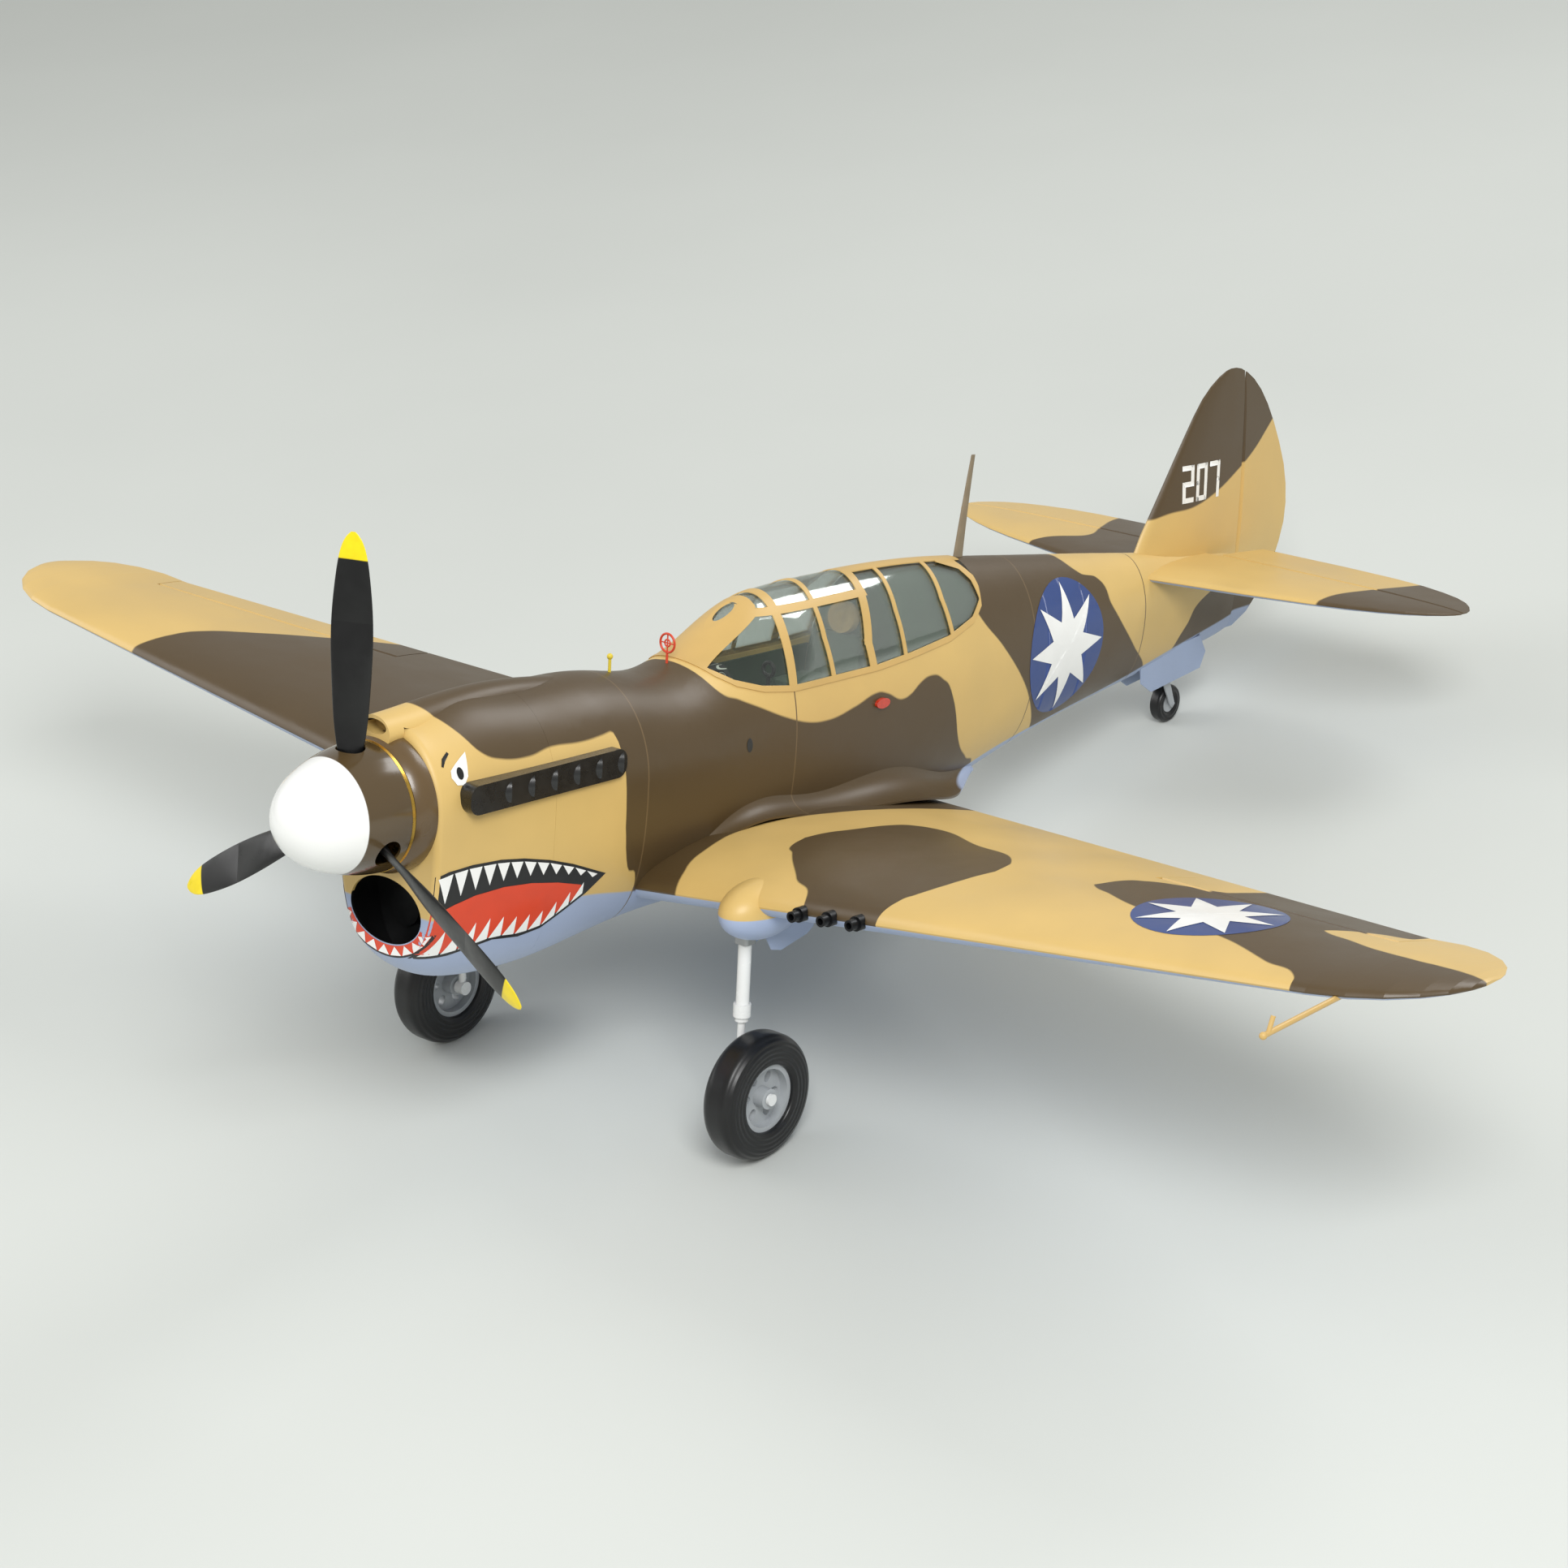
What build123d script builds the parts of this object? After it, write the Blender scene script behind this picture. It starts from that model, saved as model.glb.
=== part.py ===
"""A 1.6 m radio-controlled warbird: a low-wing, tail-wheel fighter with folding main gear.

Everything is drawn in the flight frame: X to the port wing, Y aft from the spinner's tip, Z up from the
thrust line. The finished pieces are then stood on their three wheels, nose up, with the origin on the ground
below the middle of the aeroplane. All sizes are in millimetres.
"""

import math
import os

from build123d import *

os.makedirs("parts", exist_ok=True)

# ---------------------------------------------------------------- driving dimensions
HALF_SPAN = 806.0
STANCE_DEG = 12.9  # nose-up angle when it stands on its tail wheel

SKIN = 2.6  # sheeted balsa skin
GLAZING = 1.2  # vacuum-formed canopy

SPINNER_R, SPINNER_LEN = 53.0, 90.0
PROP_R, PROP_Y = 220.0, 70.0
CRANK_R = 4.0

COWL_FRONT, FIREWALL_Y = 110.0, 232.0
CANOPY_FRONT, CANOPY_REAR = 436.0, 808.0
COCKPIT_REAR, FLOOR_Z = 676.0, -8.0

WING_LE_ROOT, WING_TE_ROOT = 342.0, 750.0
WING_LE_TIP, WING_TE_TIP = 334.0, 505.0  # both at the span station where the tip starts to round
TIP_START = 705.0
WING_Z, DIHEDRAL = -116.0, 0.135
ROOT_THICKNESS, TIP_THICKNESS = 0.134, 0.10
CAMBER = 0.020
AILERON_IN, AILERON_OUT, AILERON_SHARE = 440.0, 700.0, 0.75

STAB_HALF_SPAN, STAB_Z = 300.0, 36.0
ELEVATOR_HINGE_Y = 1218.0
RUDDER_HINGE_Y = 1268.0
BEVEL = math.tan(math.radians(36.0))

LEG_X, PIVOT_Y, PIVOT_Z = 162.0, 357.0, -119.0
WHEEL_R, WHEEL_W, WHEEL_OFFSET = 54.0, 33.0, 20.0
LEG_LENGTH = 139.0
LEG_R = 3.2
TAIL_PIVOT_Y, TAIL_WHEEL_Y, TAIL_WHEEL_R = 1158.0, 1172.0, 19.0
SIN_STANCE, COS_STANCE = math.sin(math.radians(STANCE_DEG)), math.cos(math.radians(STANCE_DEG))
GROUND = (PIVOT_Z - LEG_LENGTH) * COS_STANCE - PIVOT_Y * SIN_STANCE - WHEEL_R
TAIL_WHEEL_Z = (GROUND + TAIL_WHEEL_R + TAIL_WHEEL_Y * SIN_STANCE) / COS_STANCE

PIECES = {}


def keep(builder, label):
    """Names a finished piece and keeps it for the move to the ground attitude."""
    builder.part.label = label
    PIECES[label] = builder


def mirrored(builder):
    """The starboard twin of a port piece."""
    with BuildPart() as twin:
        mirror(builder.part, about=Plane.YZ)
    return twin


def keep_pair(builder, label):
    """Keeps a port piece and its starboard twin as one node."""
    with BuildPart() as pair:
        add(builder.part)
        add(mirrored(builder).part)
    keep(pair, label)


def station(y):
    """A cross-section plane at distance y aft: local x is X and local y is Z."""
    return Plane.XZ.offset(-y)


def span_plane(x):
    """A rib plane at span station x: local x is Y and local y is Z."""
    return Plane.YZ.offset(x)


# ---------------------------------------------------------------- fuselage mould line
# y, half width, height of the widest point, top, bottom, squareness of the top and of the bottom.
FUSELAGE = (
    (110, 57, -6, 66, -128, 0.56, 0.74),
    (146, 61, -8, 70, -151, 0.56, 0.76),
    (205, 64, -10, 73, -158, 0.56, 0.76),
    (270, 66, -12, 70, -156, 0.56, 0.72),
    (340, 67, -14, 65, -149, 0.56, 0.68),
    (436, 67, -14, 60, -147, 0.55, 0.66),
    (480, 66, -13, 82, -146, 0.50, 0.66),
    (528, 65, -12, 102, -145, 0.50, 0.66),
    (610, 63, -10, 106, -142, 0.50, 0.66),
    (700, 61, -8, 104, -136, 0.50, 0.64),
    (820, 55, -4, 93, -114, 0.52, 0.60),
    (950, 45, 0, 76, -88, 0.54, 0.56),
    (1100, 31, 4, 56, -68, 0.56, 0.56),
    (1210, 19, 6, 45, -55, 0.56, 0.56),
    (1268, 10, 4, 38, -45, 0.56, 0.56),
)


def half_hull(half_width, middle, top, bottom, square_top, square_bottom, inset):
    """One closed cross-section of the body, its sides drawn in by inset."""
    w = half_width - inset
    t = top - inset
    b = bottom + inset
    up, down = t - middle, middle - b
    corners = ((w, middle), (0, t), (-w, middle), (0, b))
    rises = (up, up, down, down)
    squares = (square_top, square_top, square_bottom, square_bottom)
    for i, (x0, z0) in enumerate(corners):
        x1, z1 = corners[(i + 1) % 4]
        k, rise = squares[i], rises[i]
        if x1 == 0:
            sign = 1 if z1 > middle else -1
            Bezier((x0, z0), (x0, z0 + sign * k * rise), (x1 + k * x0, z1), (x1, z1))
        else:
            sign = 1 if z0 > middle else -1
            Bezier((x0, z0), (x0 + k * x1, z0), (x1, z1 + sign * k * rise), (x1, z1))


def hull(stations, inset=0.0):
    """Lofts the body through its stations."""
    with BuildPart() as body:
        for y, *section in stations:
            with BuildSketch(station(y)):
                with BuildLine():
                    half_hull(*section, inset)
                make_face()
        loft()
    return body


mould = hull(FUSELAGE)
inner_mould = hull(FUSELAGE, SKIN)

# ---------------------------------------------------------------- aerofoils and lifting surfaces
def thickness(share, ratio):
    """Half thickness of a four-digit aerofoil at a share of its chord."""
    s = share
    return 5 * ratio * (0.2969 * math.sqrt(s) - 0.126 * s - 0.3516 * s**2 + 0.2843 * s**3 - 0.1036 * s**4)


def aerofoil(nose, chord, height, ratio, camber=0.0, inset=0.0):
    """A closed aerofoil in a rib plane: nose and chord run along Y, height is the chord line's Z."""
    shares = (0.0, 0.012, 0.05, 0.13, 0.28, 0.48, 0.70, 0.88, 1.0)
    front = nose + 2.2 * inset
    length = chord - 9.0 * inset if inset else chord

    def edge(side):
        points = []
        for s in shares:
            true_share = (front + s * length - nose) / chord
            mean = 4 * camber * chord * true_share * (1 - true_share)
            half = max(thickness(true_share, ratio) * chord - inset, 0.0) if inset else thickness(s, ratio) * chord
            half = 0.0 if s == 0 else max(half, 0.25)
            points.append((front + s * length, height + mean + side * half))
        return points

    upper, lower = edge(1), edge(-1)
    Spline(*upper)
    Spline(*lower)
    Line(upper[-1], lower[-1])


def wing_section(x):
    """Nose, chord, chord height and thickness ratio of the wing at span station x."""
    share = min(x, TIP_START) / TIP_START
    nose = WING_LE_ROOT + share * (WING_LE_TIP - WING_LE_ROOT)
    tail = WING_TE_ROOT + share * (WING_TE_TIP - WING_TE_ROOT)
    ratio = ROOT_THICKNESS + share * (TIP_THICKNESS - ROOT_THICKNESS)
    if x > TIP_START:
        round_share = (x - TIP_START) / (HALF_SPAN - TIP_START)
        width = math.sqrt(max(1 - round_share**2, 0.0))
        axis = nose + 0.5 * (tail - nose)
        nose, tail = axis - (axis - nose) * width, axis + (tail - axis) * width
    return nose, tail - nose, WING_Z + DIHEDRAL * x, ratio


TIP_STATIONS = tuple(TIP_START + (HALF_SPAN - TIP_START) * s for s in (0.0, 0.3, 0.55, 0.75, 0.88, 0.96, 0.99))


def wing_panel(inset=0.0):
    """The port panel as a solid, from the centreline to the rounded tip."""
    with BuildPart() as panel:
        for x in (0.0,) + ((TIP_START,) if inset else TIP_STATIONS):
            nose, chord, height, ratio = wing_section(x)
            with BuildSketch(span_plane(x)):
                with BuildLine():
                    aerofoil(nose, chord, height, ratio, CAMBER, inset)
                make_face()
        loft(ruled=True)
    return panel


wing_solid = wing_panel()
wing_hollow = wing_panel(SKIN)


def hinge_point(x, share, gap=0.0):
    """A point on the aileron hinge line, on the chord's mean line."""
    nose, chord, height, _ = wing_section(x)
    return Vector(x, nose + share * chord + gap, height + 4 * CAMBER * chord * share * (1 - share))


AILERON_A = hinge_point(AILERON_IN, AILERON_SHARE)
AILERON_B = hinge_point(AILERON_OUT, AILERON_SHARE)
AILERON_AXIS = (AILERON_B - AILERON_A).normalized()


def hinge_block(start, direction, length, reach, margin, bevel):
    """A prism behind a hinge line; its front face is a V of the given bevel, or flat when that is 0."""
    aft = Vector(0, 1, 0)
    plane = Plane(origin=start, x_dir=aft - direction * aft.dot(direction), z_dir=direction)
    with BuildPart() as block:
        with BuildSketch(plane):
            with BuildLine():
                Polyline(
                    (margin, 0),
                    (margin + 40 * bevel, 40),
                    (reach, 40),
                    (reach, -40),
                    (margin + 40 * bevel, -40),
                    close=True,
                )
            make_face()
        extrude(amount=length)
    return block


END_GAP = 1.2
AILERON_LENGTH = (AILERON_B - AILERON_A).length
BAY_START = AILERON_A - AILERON_AXIS * END_GAP
BAY_LENGTH = AILERON_LENGTH + 2 * END_GAP
aileron_bay = hinge_block(BAY_START, AILERON_AXIS, BAY_LENGTH, 160.0, -1.2, 0.0)
aileron_block = hinge_block(AILERON_A, AILERON_AXIS, AILERON_LENGTH, 160.0, 0.2, BEVEL)

# ---------------------------------------------------------------- main gear places
WELL_Y = PIVOT_Y + LEG_LENGTH
WELL_R = WHEEL_R + 5.0
WELL_TOP = PIVOT_Z + WHEEL_OFFSET + WHEEL_W / 2 + 3.0
SLOT_HALF, SLOT_FRONT = 13.0, PIVOT_Y - 12.0
SLOT_TOP = PIVOT_Z + 21.0

with BuildPart() as gear_space:
    with BuildSketch(Plane.XY.offset(PIVOT_Z - 60)):
        with Locations((LEG_X, WELL_Y)):
            Circle(WELL_R)
    extrude(amount=60 + WELL_TOP - PIVOT_Z)
    with BuildSketch(Plane.XY.offset(PIVOT_Z - 60)):
        with Locations((LEG_X, SLOT_FRONT)):
            Rectangle(2 * SLOT_HALF, WELL_Y - SLOT_FRONT, align=(Align.CENTER, Align.MIN))
    extrude(amount=SLOT_TOP - PIVOT_Z + 60)

# ---------------------------------------------------------------- wing panels and ailerons
with BuildPart() as wing_left:
    add(wing_solid.part)
    add([wing_hollow.part, aileron_bay.part, gear_space.part], mode=Mode.SUBTRACT)
keep(wing_left, "wing_left")
keep(mirrored(wing_left), "wing_right")

with BuildPart() as aileron_left:
    add(wing_solid.part)
    add(aileron_block.part, mode=Mode.INTERSECT)
keep(aileron_left, "aileron_left")
keep(mirrored(aileron_left), "aileron_right")

# ---------------------------------------------------------------- tail surfaces
# height, nose and tail of the fin and rudder together
FIN = (
    (-45, 1150, 1280),
    (-34, 1140, 1304),
    (-10, 1120, 1331),
    (12, 1104, 1345),
    (32, 1096, 1354),
    (52, 1097, 1360),
    (72, 1108, 1361),
    (92, 1122, 1358),
    (114, 1137, 1351),
    (138, 1153, 1339),
    (160, 1168, 1326),
    (180, 1182, 1312),
    (196, 1195, 1298),
    (208, 1209, 1284),
    (216, 1222, 1271),
    (221, 1234, 1259),
    (222.5, 1242, 1251),
)
# span station, nose and tail of the stabiliser and elevator together
STAB = (
    (0, 1084, 1293),
    (120, 1114, 1293),
    (180, 1132, 1290),
    (215, 1145, 1285),
    (242, 1158, 1277),
    (263, 1171, 1268),
    (279, 1184, 1257),
    (290, 1196, 1245),
    (297, 1206, 1234),
    (299.5, 1213, 1225),
)
TAIL_RATIO = 0.074
HINGE_GAP = 2.0


def slab(y0, y1, low=-260.0, high=260.0):
    """A block between two stations and two heights."""
    with BuildPart() as block:
        with BuildSketch(station(y0)):
            with Locations((0, low)):
                Rectangle(240, high - low, align=(Align.CENTER, Align.MIN))
        extrude(amount=-(y1 - y0))
    return block


def tail_surface(stations, plane_at, upright=False):
    """Lofts symmetrical sections; an upright surface has its chord along the plane's second axis."""
    shares = (0.0, 0.012, 0.05, 0.15, 0.32, 0.55, 0.80, 1.0)
    with BuildPart() as surface:
        for place, nose, tail in stations:
            chord = tail - nose
            sides = []
            for side in (1, -1):
                points = []
                for s in shares:
                    half = 0.0 if s == 0 else max(thickness(s, TAIL_RATIO) * chord, 0.5)
                    point = (nose + s * chord, side * half)
                    points.append(point[::-1] if upright else point)
                sides.append(points)
            with BuildSketch(plane_at(place)):
                with BuildLine():
                    Spline(*sides[0])
                    Spline(*sides[1])
                    Line(sides[0][-1], sides[1][-1])
                make_face()
        loft(ruled=True)
    return surface


def stab_plane(x):
    """A rib plane of the stabiliser, on its chord line."""
    return Plane(origin=(x, 0, STAB_Z), x_dir=(0, 1, 0), z_dir=(1, 0, 0))


TAIL_POST_Y = RUDDER_HINGE_Y - 6.0
fin_solid = tail_surface(FIN, lambda z: Plane.XY.offset(z), upright=True)
stab_half = tail_surface(STAB, stab_plane)

JOINER_R, JOINER_X = 1.6, 60.0
ELEVATOR_X = 22.0
HORN = 24.0

with BuildPart() as elevator_joiner:
    with BuildSketch(span_plane(-JOINER_X)):
        with Locations((ELEVATOR_HINGE_Y, STAB_Z)):
            Circle(JOINER_R)
    extrude(amount=2 * JOINER_X)
    with BuildSketch(span_plane(-1.0)):
        with BuildLine():
            Polyline(
                (ELEVATOR_HINGE_Y - 5, STAB_Z),
                (ELEVATOR_HINGE_Y + 5, STAB_Z),
                (ELEVATOR_HINGE_Y + 2.5, STAB_Z - HORN),
                (ELEVATOR_HINGE_Y - 2.5, STAB_Z - HORN),
                close=True,
            )
        make_face()
        with Locations((ELEVATOR_HINGE_Y, STAB_Z - HORN + 4)):
            Circle(1.1, mode=Mode.SUBTRACT)
    extrude(amount=2.0)

elevator_start = Vector(ELEVATOR_X, ELEVATOR_HINGE_Y, STAB_Z)
elevator_block = hinge_block(elevator_start, Vector(1, 0, 0), STAB_HALF_SPAN, 120.0, 0.3, BEVEL)
with BuildPart() as elevator:
    add(stab_half.part)
    add(elevator_block.part, mode=Mode.INTERSECT)
    mirror(about=Plane.YZ)
    add(elevator_joiner.part)
keep(elevator, "elevator")

with BuildPart() as stabilizer:
    add(stab_half.part)
    mirror(about=Plane.YZ)
    with BuildSketch(Plane.XY.offset(STAB_Z - 30)):
        with Locations((0, ELEVATOR_HINGE_Y - HINGE_GAP)):
            Rectangle(700, 200, align=(Align.CENTER, Align.MIN))
        with Locations((0, ELEVATOR_HINGE_Y - 7)):
            Rectangle(2 * ELEVATOR_X + 4, 100, align=(Align.CENTER, Align.MIN))
    extrude(amount=60, mode=Mode.SUBTRACT)
keep(stabilizer, "stabilizer")

rudder_block = hinge_block(Vector(0, RUDDER_HINGE_Y, -80), Vector(0, 0, 1), 320.0, 140.0, 0.3, BEVEL)
with BuildPart() as rudder:
    add(fin_solid.part)
    add(rudder_block.part, mode=Mode.INTERSECT)
keep(rudder, "rudder")

with BuildPart() as fin:
    add(fin_solid.part)
    with BuildSketch(Plane.XY.offset(-80)):
        with Locations((0, RUDDER_HINGE_Y - HINGE_GAP)):
            Rectangle(80, 200, align=(Align.CENTER, Align.MIN))
    extrude(amount=340, mode=Mode.SUBTRACT)
    with BuildSketch(Plane.XY.offset(-80)):
        with Locations((0, RUDDER_HINGE_Y)):
            Rectangle(80, 400)
    extrude(amount=90, mode=Mode.SUBTRACT)
    add([mould.part, stabilizer.part], mode=Mode.SUBTRACT)
keep(fin, "fin")

# ---------------------------------------------------------------- fuselage shell, cowl, belly and canopy
def side_view(points, half=120.0):
    """A prism with the given side-view outline, right across the body."""
    with BuildPart() as prism:
        with BuildSketch(Plane.YZ):
            with BuildLine():
                Polyline(*points, close=True)
            make_face()
        extrude(amount=half, both=True)
    return prism


# The sill drops along the windscreen, runs level below the hood and climbs round the rear windows.
SILL = (
    (436, 62),
    (447, 51),
    (462, 42),
    (489, 34),
    (525, 29),
    (640, 28),
    (690, 31),
    (745, 36),
    (785, 46),
    (802, 58),
    (808, 74),
)
canopy_zone = side_view(((CANOPY_REAR, 200), (CANOPY_FRONT, 200), *SILL))
saddle = side_view(
    ((WING_LE_ROOT, WING_Z), (WING_LE_ROOT, -220), (WING_TE_ROOT, -220), (WING_TE_ROOT, WING_Z)), 100
)
wing_twin = mirrored(wing_solid)

TAIL_SLOT_FRONT, TAIL_SLOT_REAR, TAIL_SLOT_HALF = 1100.0, 1204.0, 14.0

with BuildPart() as tail_cutouts:
    with Locations((0, ELEVATOR_HINGE_Y, STAB_Z)):
        Cylinder(JOINER_R + 0.8, 90, rotation=(0, 90, 0))
    with BuildSketch(Plane.XY.offset(-120)):
        with Locations((0, TAIL_SLOT_FRONT)):
            Rectangle(2 * TAIL_SLOT_HALF, TAIL_SLOT_REAR - TAIL_SLOT_FRONT, align=(Align.CENTER, Align.MIN))
    extrude(amount=90)

with BuildPart() as shell_hollow:
    add(inner_mould.part)
    add(slab(FIREWALL_Y - 10, TAIL_POST_Y).part, mode=Mode.INTERSECT)

with BuildPart() as fuselage_shell:
    add(mould.part)
    add(slab(FIREWALL_Y + 0.2, RUDDER_HINGE_Y - HINGE_GAP).part, mode=Mode.INTERSECT)
    add(shell_hollow.part, mode=Mode.SUBTRACT)
    add([canopy_zone.part, saddle.part, tail_cutouts.part], mode=Mode.SUBTRACT)
    add([wing_solid.part, wing_twin.part, stabilizer.part], mode=Mode.SUBTRACT)
keep(fuselage_shell, "fuselage_shell")

with BuildPart() as belly_pan:
    add(mould.part)
    add(saddle.part, mode=Mode.INTERSECT)
    add([wing_solid.part, wing_twin.part], mode=Mode.SUBTRACT)
keep(belly_pan, "belly_pan")

INTAKE_Z, INTAKE_W, INTAKE_H = -90.0, 40.0, 27.0
with BuildPart() as cowl_bay:
    add(inner_mould.part)
    add(slab(COWL_FRONT + SKIN, FIREWALL_Y).part, mode=Mode.INTERSECT)

with BuildPart() as nose_cowl:
    add(mould.part)
    add(slab(COWL_FRONT - 10, FIREWALL_Y).part, mode=Mode.INTERSECT)
    fillet(nose_cowl.faces().sort_by(Axis.Y)[0].edges(), radius=6)
    add(cowl_bay.part, mode=Mode.SUBTRACT)
    with BuildSketch(station(COWL_FRONT - 10)):
        with Locations((0, INTAKE_Z)):
            Ellipse(INTAKE_W, INTAKE_H)
        Circle(30)
    extrude(amount=-20, mode=Mode.SUBTRACT)
keep(nose_cowl, "nose_cowl")

RING_FRONT = SPINNER_LEN + 1.5
with BuildPart() as nose_ring:
    with BuildSketch(Plane.YZ):
        with BuildLine():
            Line((RING_FRONT, 44), (RING_FRONT, 52))
            Spline((RING_FRONT, 52), (RING_FRONT + 4, 54.5), (COWL_FRONT, 57.0))
            Line((COWL_FRONT, 57.0), (COWL_FRONT, 44))
            Line((COWL_FRONT, 44), (RING_FRONT, 44))
        make_face()
    revolve(axis=Axis.Y)
keep(nose_ring, "nose_ring")

# y, height of the middle, half width and half height of the carburettor intake hump
SCOOP = ((95, 58, 17, 14), (130, 60, 18, 14), (190, 62, 18, 16), (260, 58, 16, 16), (330, 52, 12, 14))
with BuildPart() as carb_scoop:
    for y, z, half_width, half_height in SCOOP:
        with BuildSketch(station(y)):
            with Locations((0, z)):
                Ellipse(half_width, half_height)
    loft()
    with BuildSketch(station(94)):
        with Locations((0, 63)):
            Ellipse(13, 6)
    extrude(amount=-14, mode=Mode.SUBTRACT)
    add([mould.part, nose_ring.part], mode=Mode.SUBTRACT)
keep(carb_scoop, "carb_scoop")

canopy_mould = hull(FUSELAGE, GLAZING)
with BuildPart() as canopy_glass:
    add(mould.part)
    add(canopy_zone.part, mode=Mode.INTERSECT)
    add(canopy_mould.part, mode=Mode.SUBTRACT)
keep(canopy_glass, "canopy_glass")

# ---------------------------------------------------------------- canopy frames, drawn in side view
SILL_FRAME, SPINE_HALF = 5.0, 9.0
# width of each frame and the line it follows
FRAME_LINES = (
    (8.0, ((438, 57), (475, 75.5), (508, 92))),
    (6.0, ((508, 92), (516, 98), (523, 112))),
    (9.0, ((523, 22), (530, 74), (533, 91), (541, 125))),
    (5.5, ((508, 92), (650, 91))),
    (5.0, ((579, 22), (577, 65), (581, 93), (590, 125))),
    (9.0, ((634, 22), (632, 53), (647, 95), (655, 125))),
    (4.5, ((679, 22), (680, 72), (690, 125))),
    (5.0, ((751, 30), (748, 72), (757, 125))),
    (7.0, ((806, 64), (805, 80), (796, 92), (776, 99))),
)
frame_mould = hull(FUSELAGE, -0.9)
with BuildPart() as frame_zones:
    with BuildSketch(Plane.YZ):
        for width, line in FRAME_LINES:
            for (y0, z0), (y1, z1) in zip(line, line[1:]):
                slope = math.degrees(math.atan2(z1 - z0, y1 - y0))
                with Locations(((y0 + y1) / 2, (z0 + z1) / 2)):
                    Rectangle(math.hypot(y1 - y0, z1 - z0) + 0.7 * width, width, rotation=slope)
        with BuildLine():
            Polyline(*SILL, *[(y, z + SILL_FRAME) for y, z in reversed(SILL)], close=True)
        make_face()
    extrude(amount=120, both=True)
    with BuildSketch(Plane.XY.offset(80)):
        with Locations((0, 650)):
            Rectangle(2 * SPINE_HALF, CANOPY_REAR + 2 - 650, align=(Align.CENTER, Align.MIN))
    extrude(amount=60)

with BuildPart() as canopy_frames:
    add(frame_mould.part)
    add(canopy_zone.part, mode=Mode.INTERSECT)
    add(mould.part, mode=Mode.SUBTRACT)
    add(frame_zones.part, mode=Mode.INTERSECT)
keep(canopy_frames, "canopy_frames")

# ---------------------------------------------------------------- cockpit
WALL_INSET, DECK_INSET = 5.0, 8.0
TUB_FRONT, TUB_WALL_TOP, FLOOR = 446.0, 24.0, 2.0
PANEL_Y, PANEL_TOP, COAMING = 462.0, 56.0, 15.0
DECK_FRONT = COCKPIT_REAR + 0.2
deck_mould = hull(FUSELAGE, WALL_INSET)
deck_hollow = hull(FUSELAGE, DECK_INSET)

with BuildPart() as tub_space:
    add(deck_mould.part)
    add(slab(TUB_FRONT - 1, COCKPIT_REAR + 1, FLOOR_Z + FLOOR, 100).part, mode=Mode.INTERSECT)

with BuildPart() as cockpit_tub:
    add(inner_mould.part)
    add(slab(TUB_FRONT, COCKPIT_REAR, FLOOR_Z, TUB_WALL_TOP).part, mode=Mode.INTERSECT)
    add(tub_space.part, mode=Mode.SUBTRACT)
keep(cockpit_tub, "cockpit_tub")

with BuildPart() as rear_space:
    add(deck_hollow.part)
    add(slab(DECK_FRONT + 3, CANOPY_REAR, FLOOR_Z - 5, 200).part, mode=Mode.INTERSECT)

with BuildPart() as rear_deck:
    add(deck_mould.part)
    add(slab(DECK_FRONT, CANOPY_REAR + 3, FLOOR_Z, 200).part, mode=Mode.INTERSECT)
    add(rear_space.part, mode=Mode.SUBTRACT)
keep(rear_deck, "rear_deck")

panel_outline = side_view(
    (
        (PANEL_Y - COAMING, PANEL_TOP - 3),
        (PANEL_Y - COAMING, PANEL_TOP),
        (PANEL_Y + 4, PANEL_TOP),
        (PANEL_Y + 4, FLOOR_Z + FLOOR),
        (PANEL_Y, FLOOR_Z + FLOOR),
        (PANEL_Y, PANEL_TOP - 3),
    )
)
with BuildPart() as instrument_panel:
    add(deck_mould.part)
    add(panel_outline.part, mode=Mode.INTERSECT)
keep(instrument_panel, "instrument_panel")

SEAT_Y, SEAT_Z = 628.0, FLOOR_Z + FLOOR
SEAT_BACK = Plane(origin=(0, SEAT_Y + 20, SEAT_Z), x_dir=(1, 0, 0), z_dir=(0, -1, 0.16))
with BuildPart() as pilot_seat:
    with BuildSketch(Plane.XY.offset(SEAT_Z)):
        with Locations((0, SEAT_Y - 8)):
            RectangleRounded(56, 50, 8)
    extrude(amount=16)
    with BuildSketch(SEAT_BACK):
        with Locations((0, 28)):
            RectangleRounded(54, 52, 9)
    extrude(amount=4, both=True)
keep(pilot_seat, "pilot_seat")

with BuildPart() as seat_headrest:
    with BuildSketch(SEAT_BACK):
        with Locations((0, 68)):
            Ellipse(15, 14)
    extrude(amount=4, both=True)
keep(seat_headrest, "seat_headrest")

with BuildPart() as control_stick:
    with BuildSketch(Plane.XY.offset(SEAT_Z)):
        with Locations((0, 560)):
            Circle(7)
    extrude(amount=4)
    with BuildSketch(Plane.XY.offset(SEAT_Z)):
        with Locations((0, 560)):
            Circle(2)
    extrude(amount=32)
    with Locations((0, 560, SEAT_Z + 36)):
        Torus(6, 1.8, rotation=(90, 0, 0))
keep(control_stick, "control_stick")

# ---------------------------------------------------------------- spinner and propeller
BACKPLATE, SPINNER_WALL = 3.0, 1.8
SPINNER_REAR = SPINNER_LEN - BACKPLATE
SPINNER_POINTS = ((0, 0), (3.5, 15), (12, 27), (28, 38.5), (50, 46.8), (70, 51.2), (SPINNER_REAR, SPINNER_R - 0.2))

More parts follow.
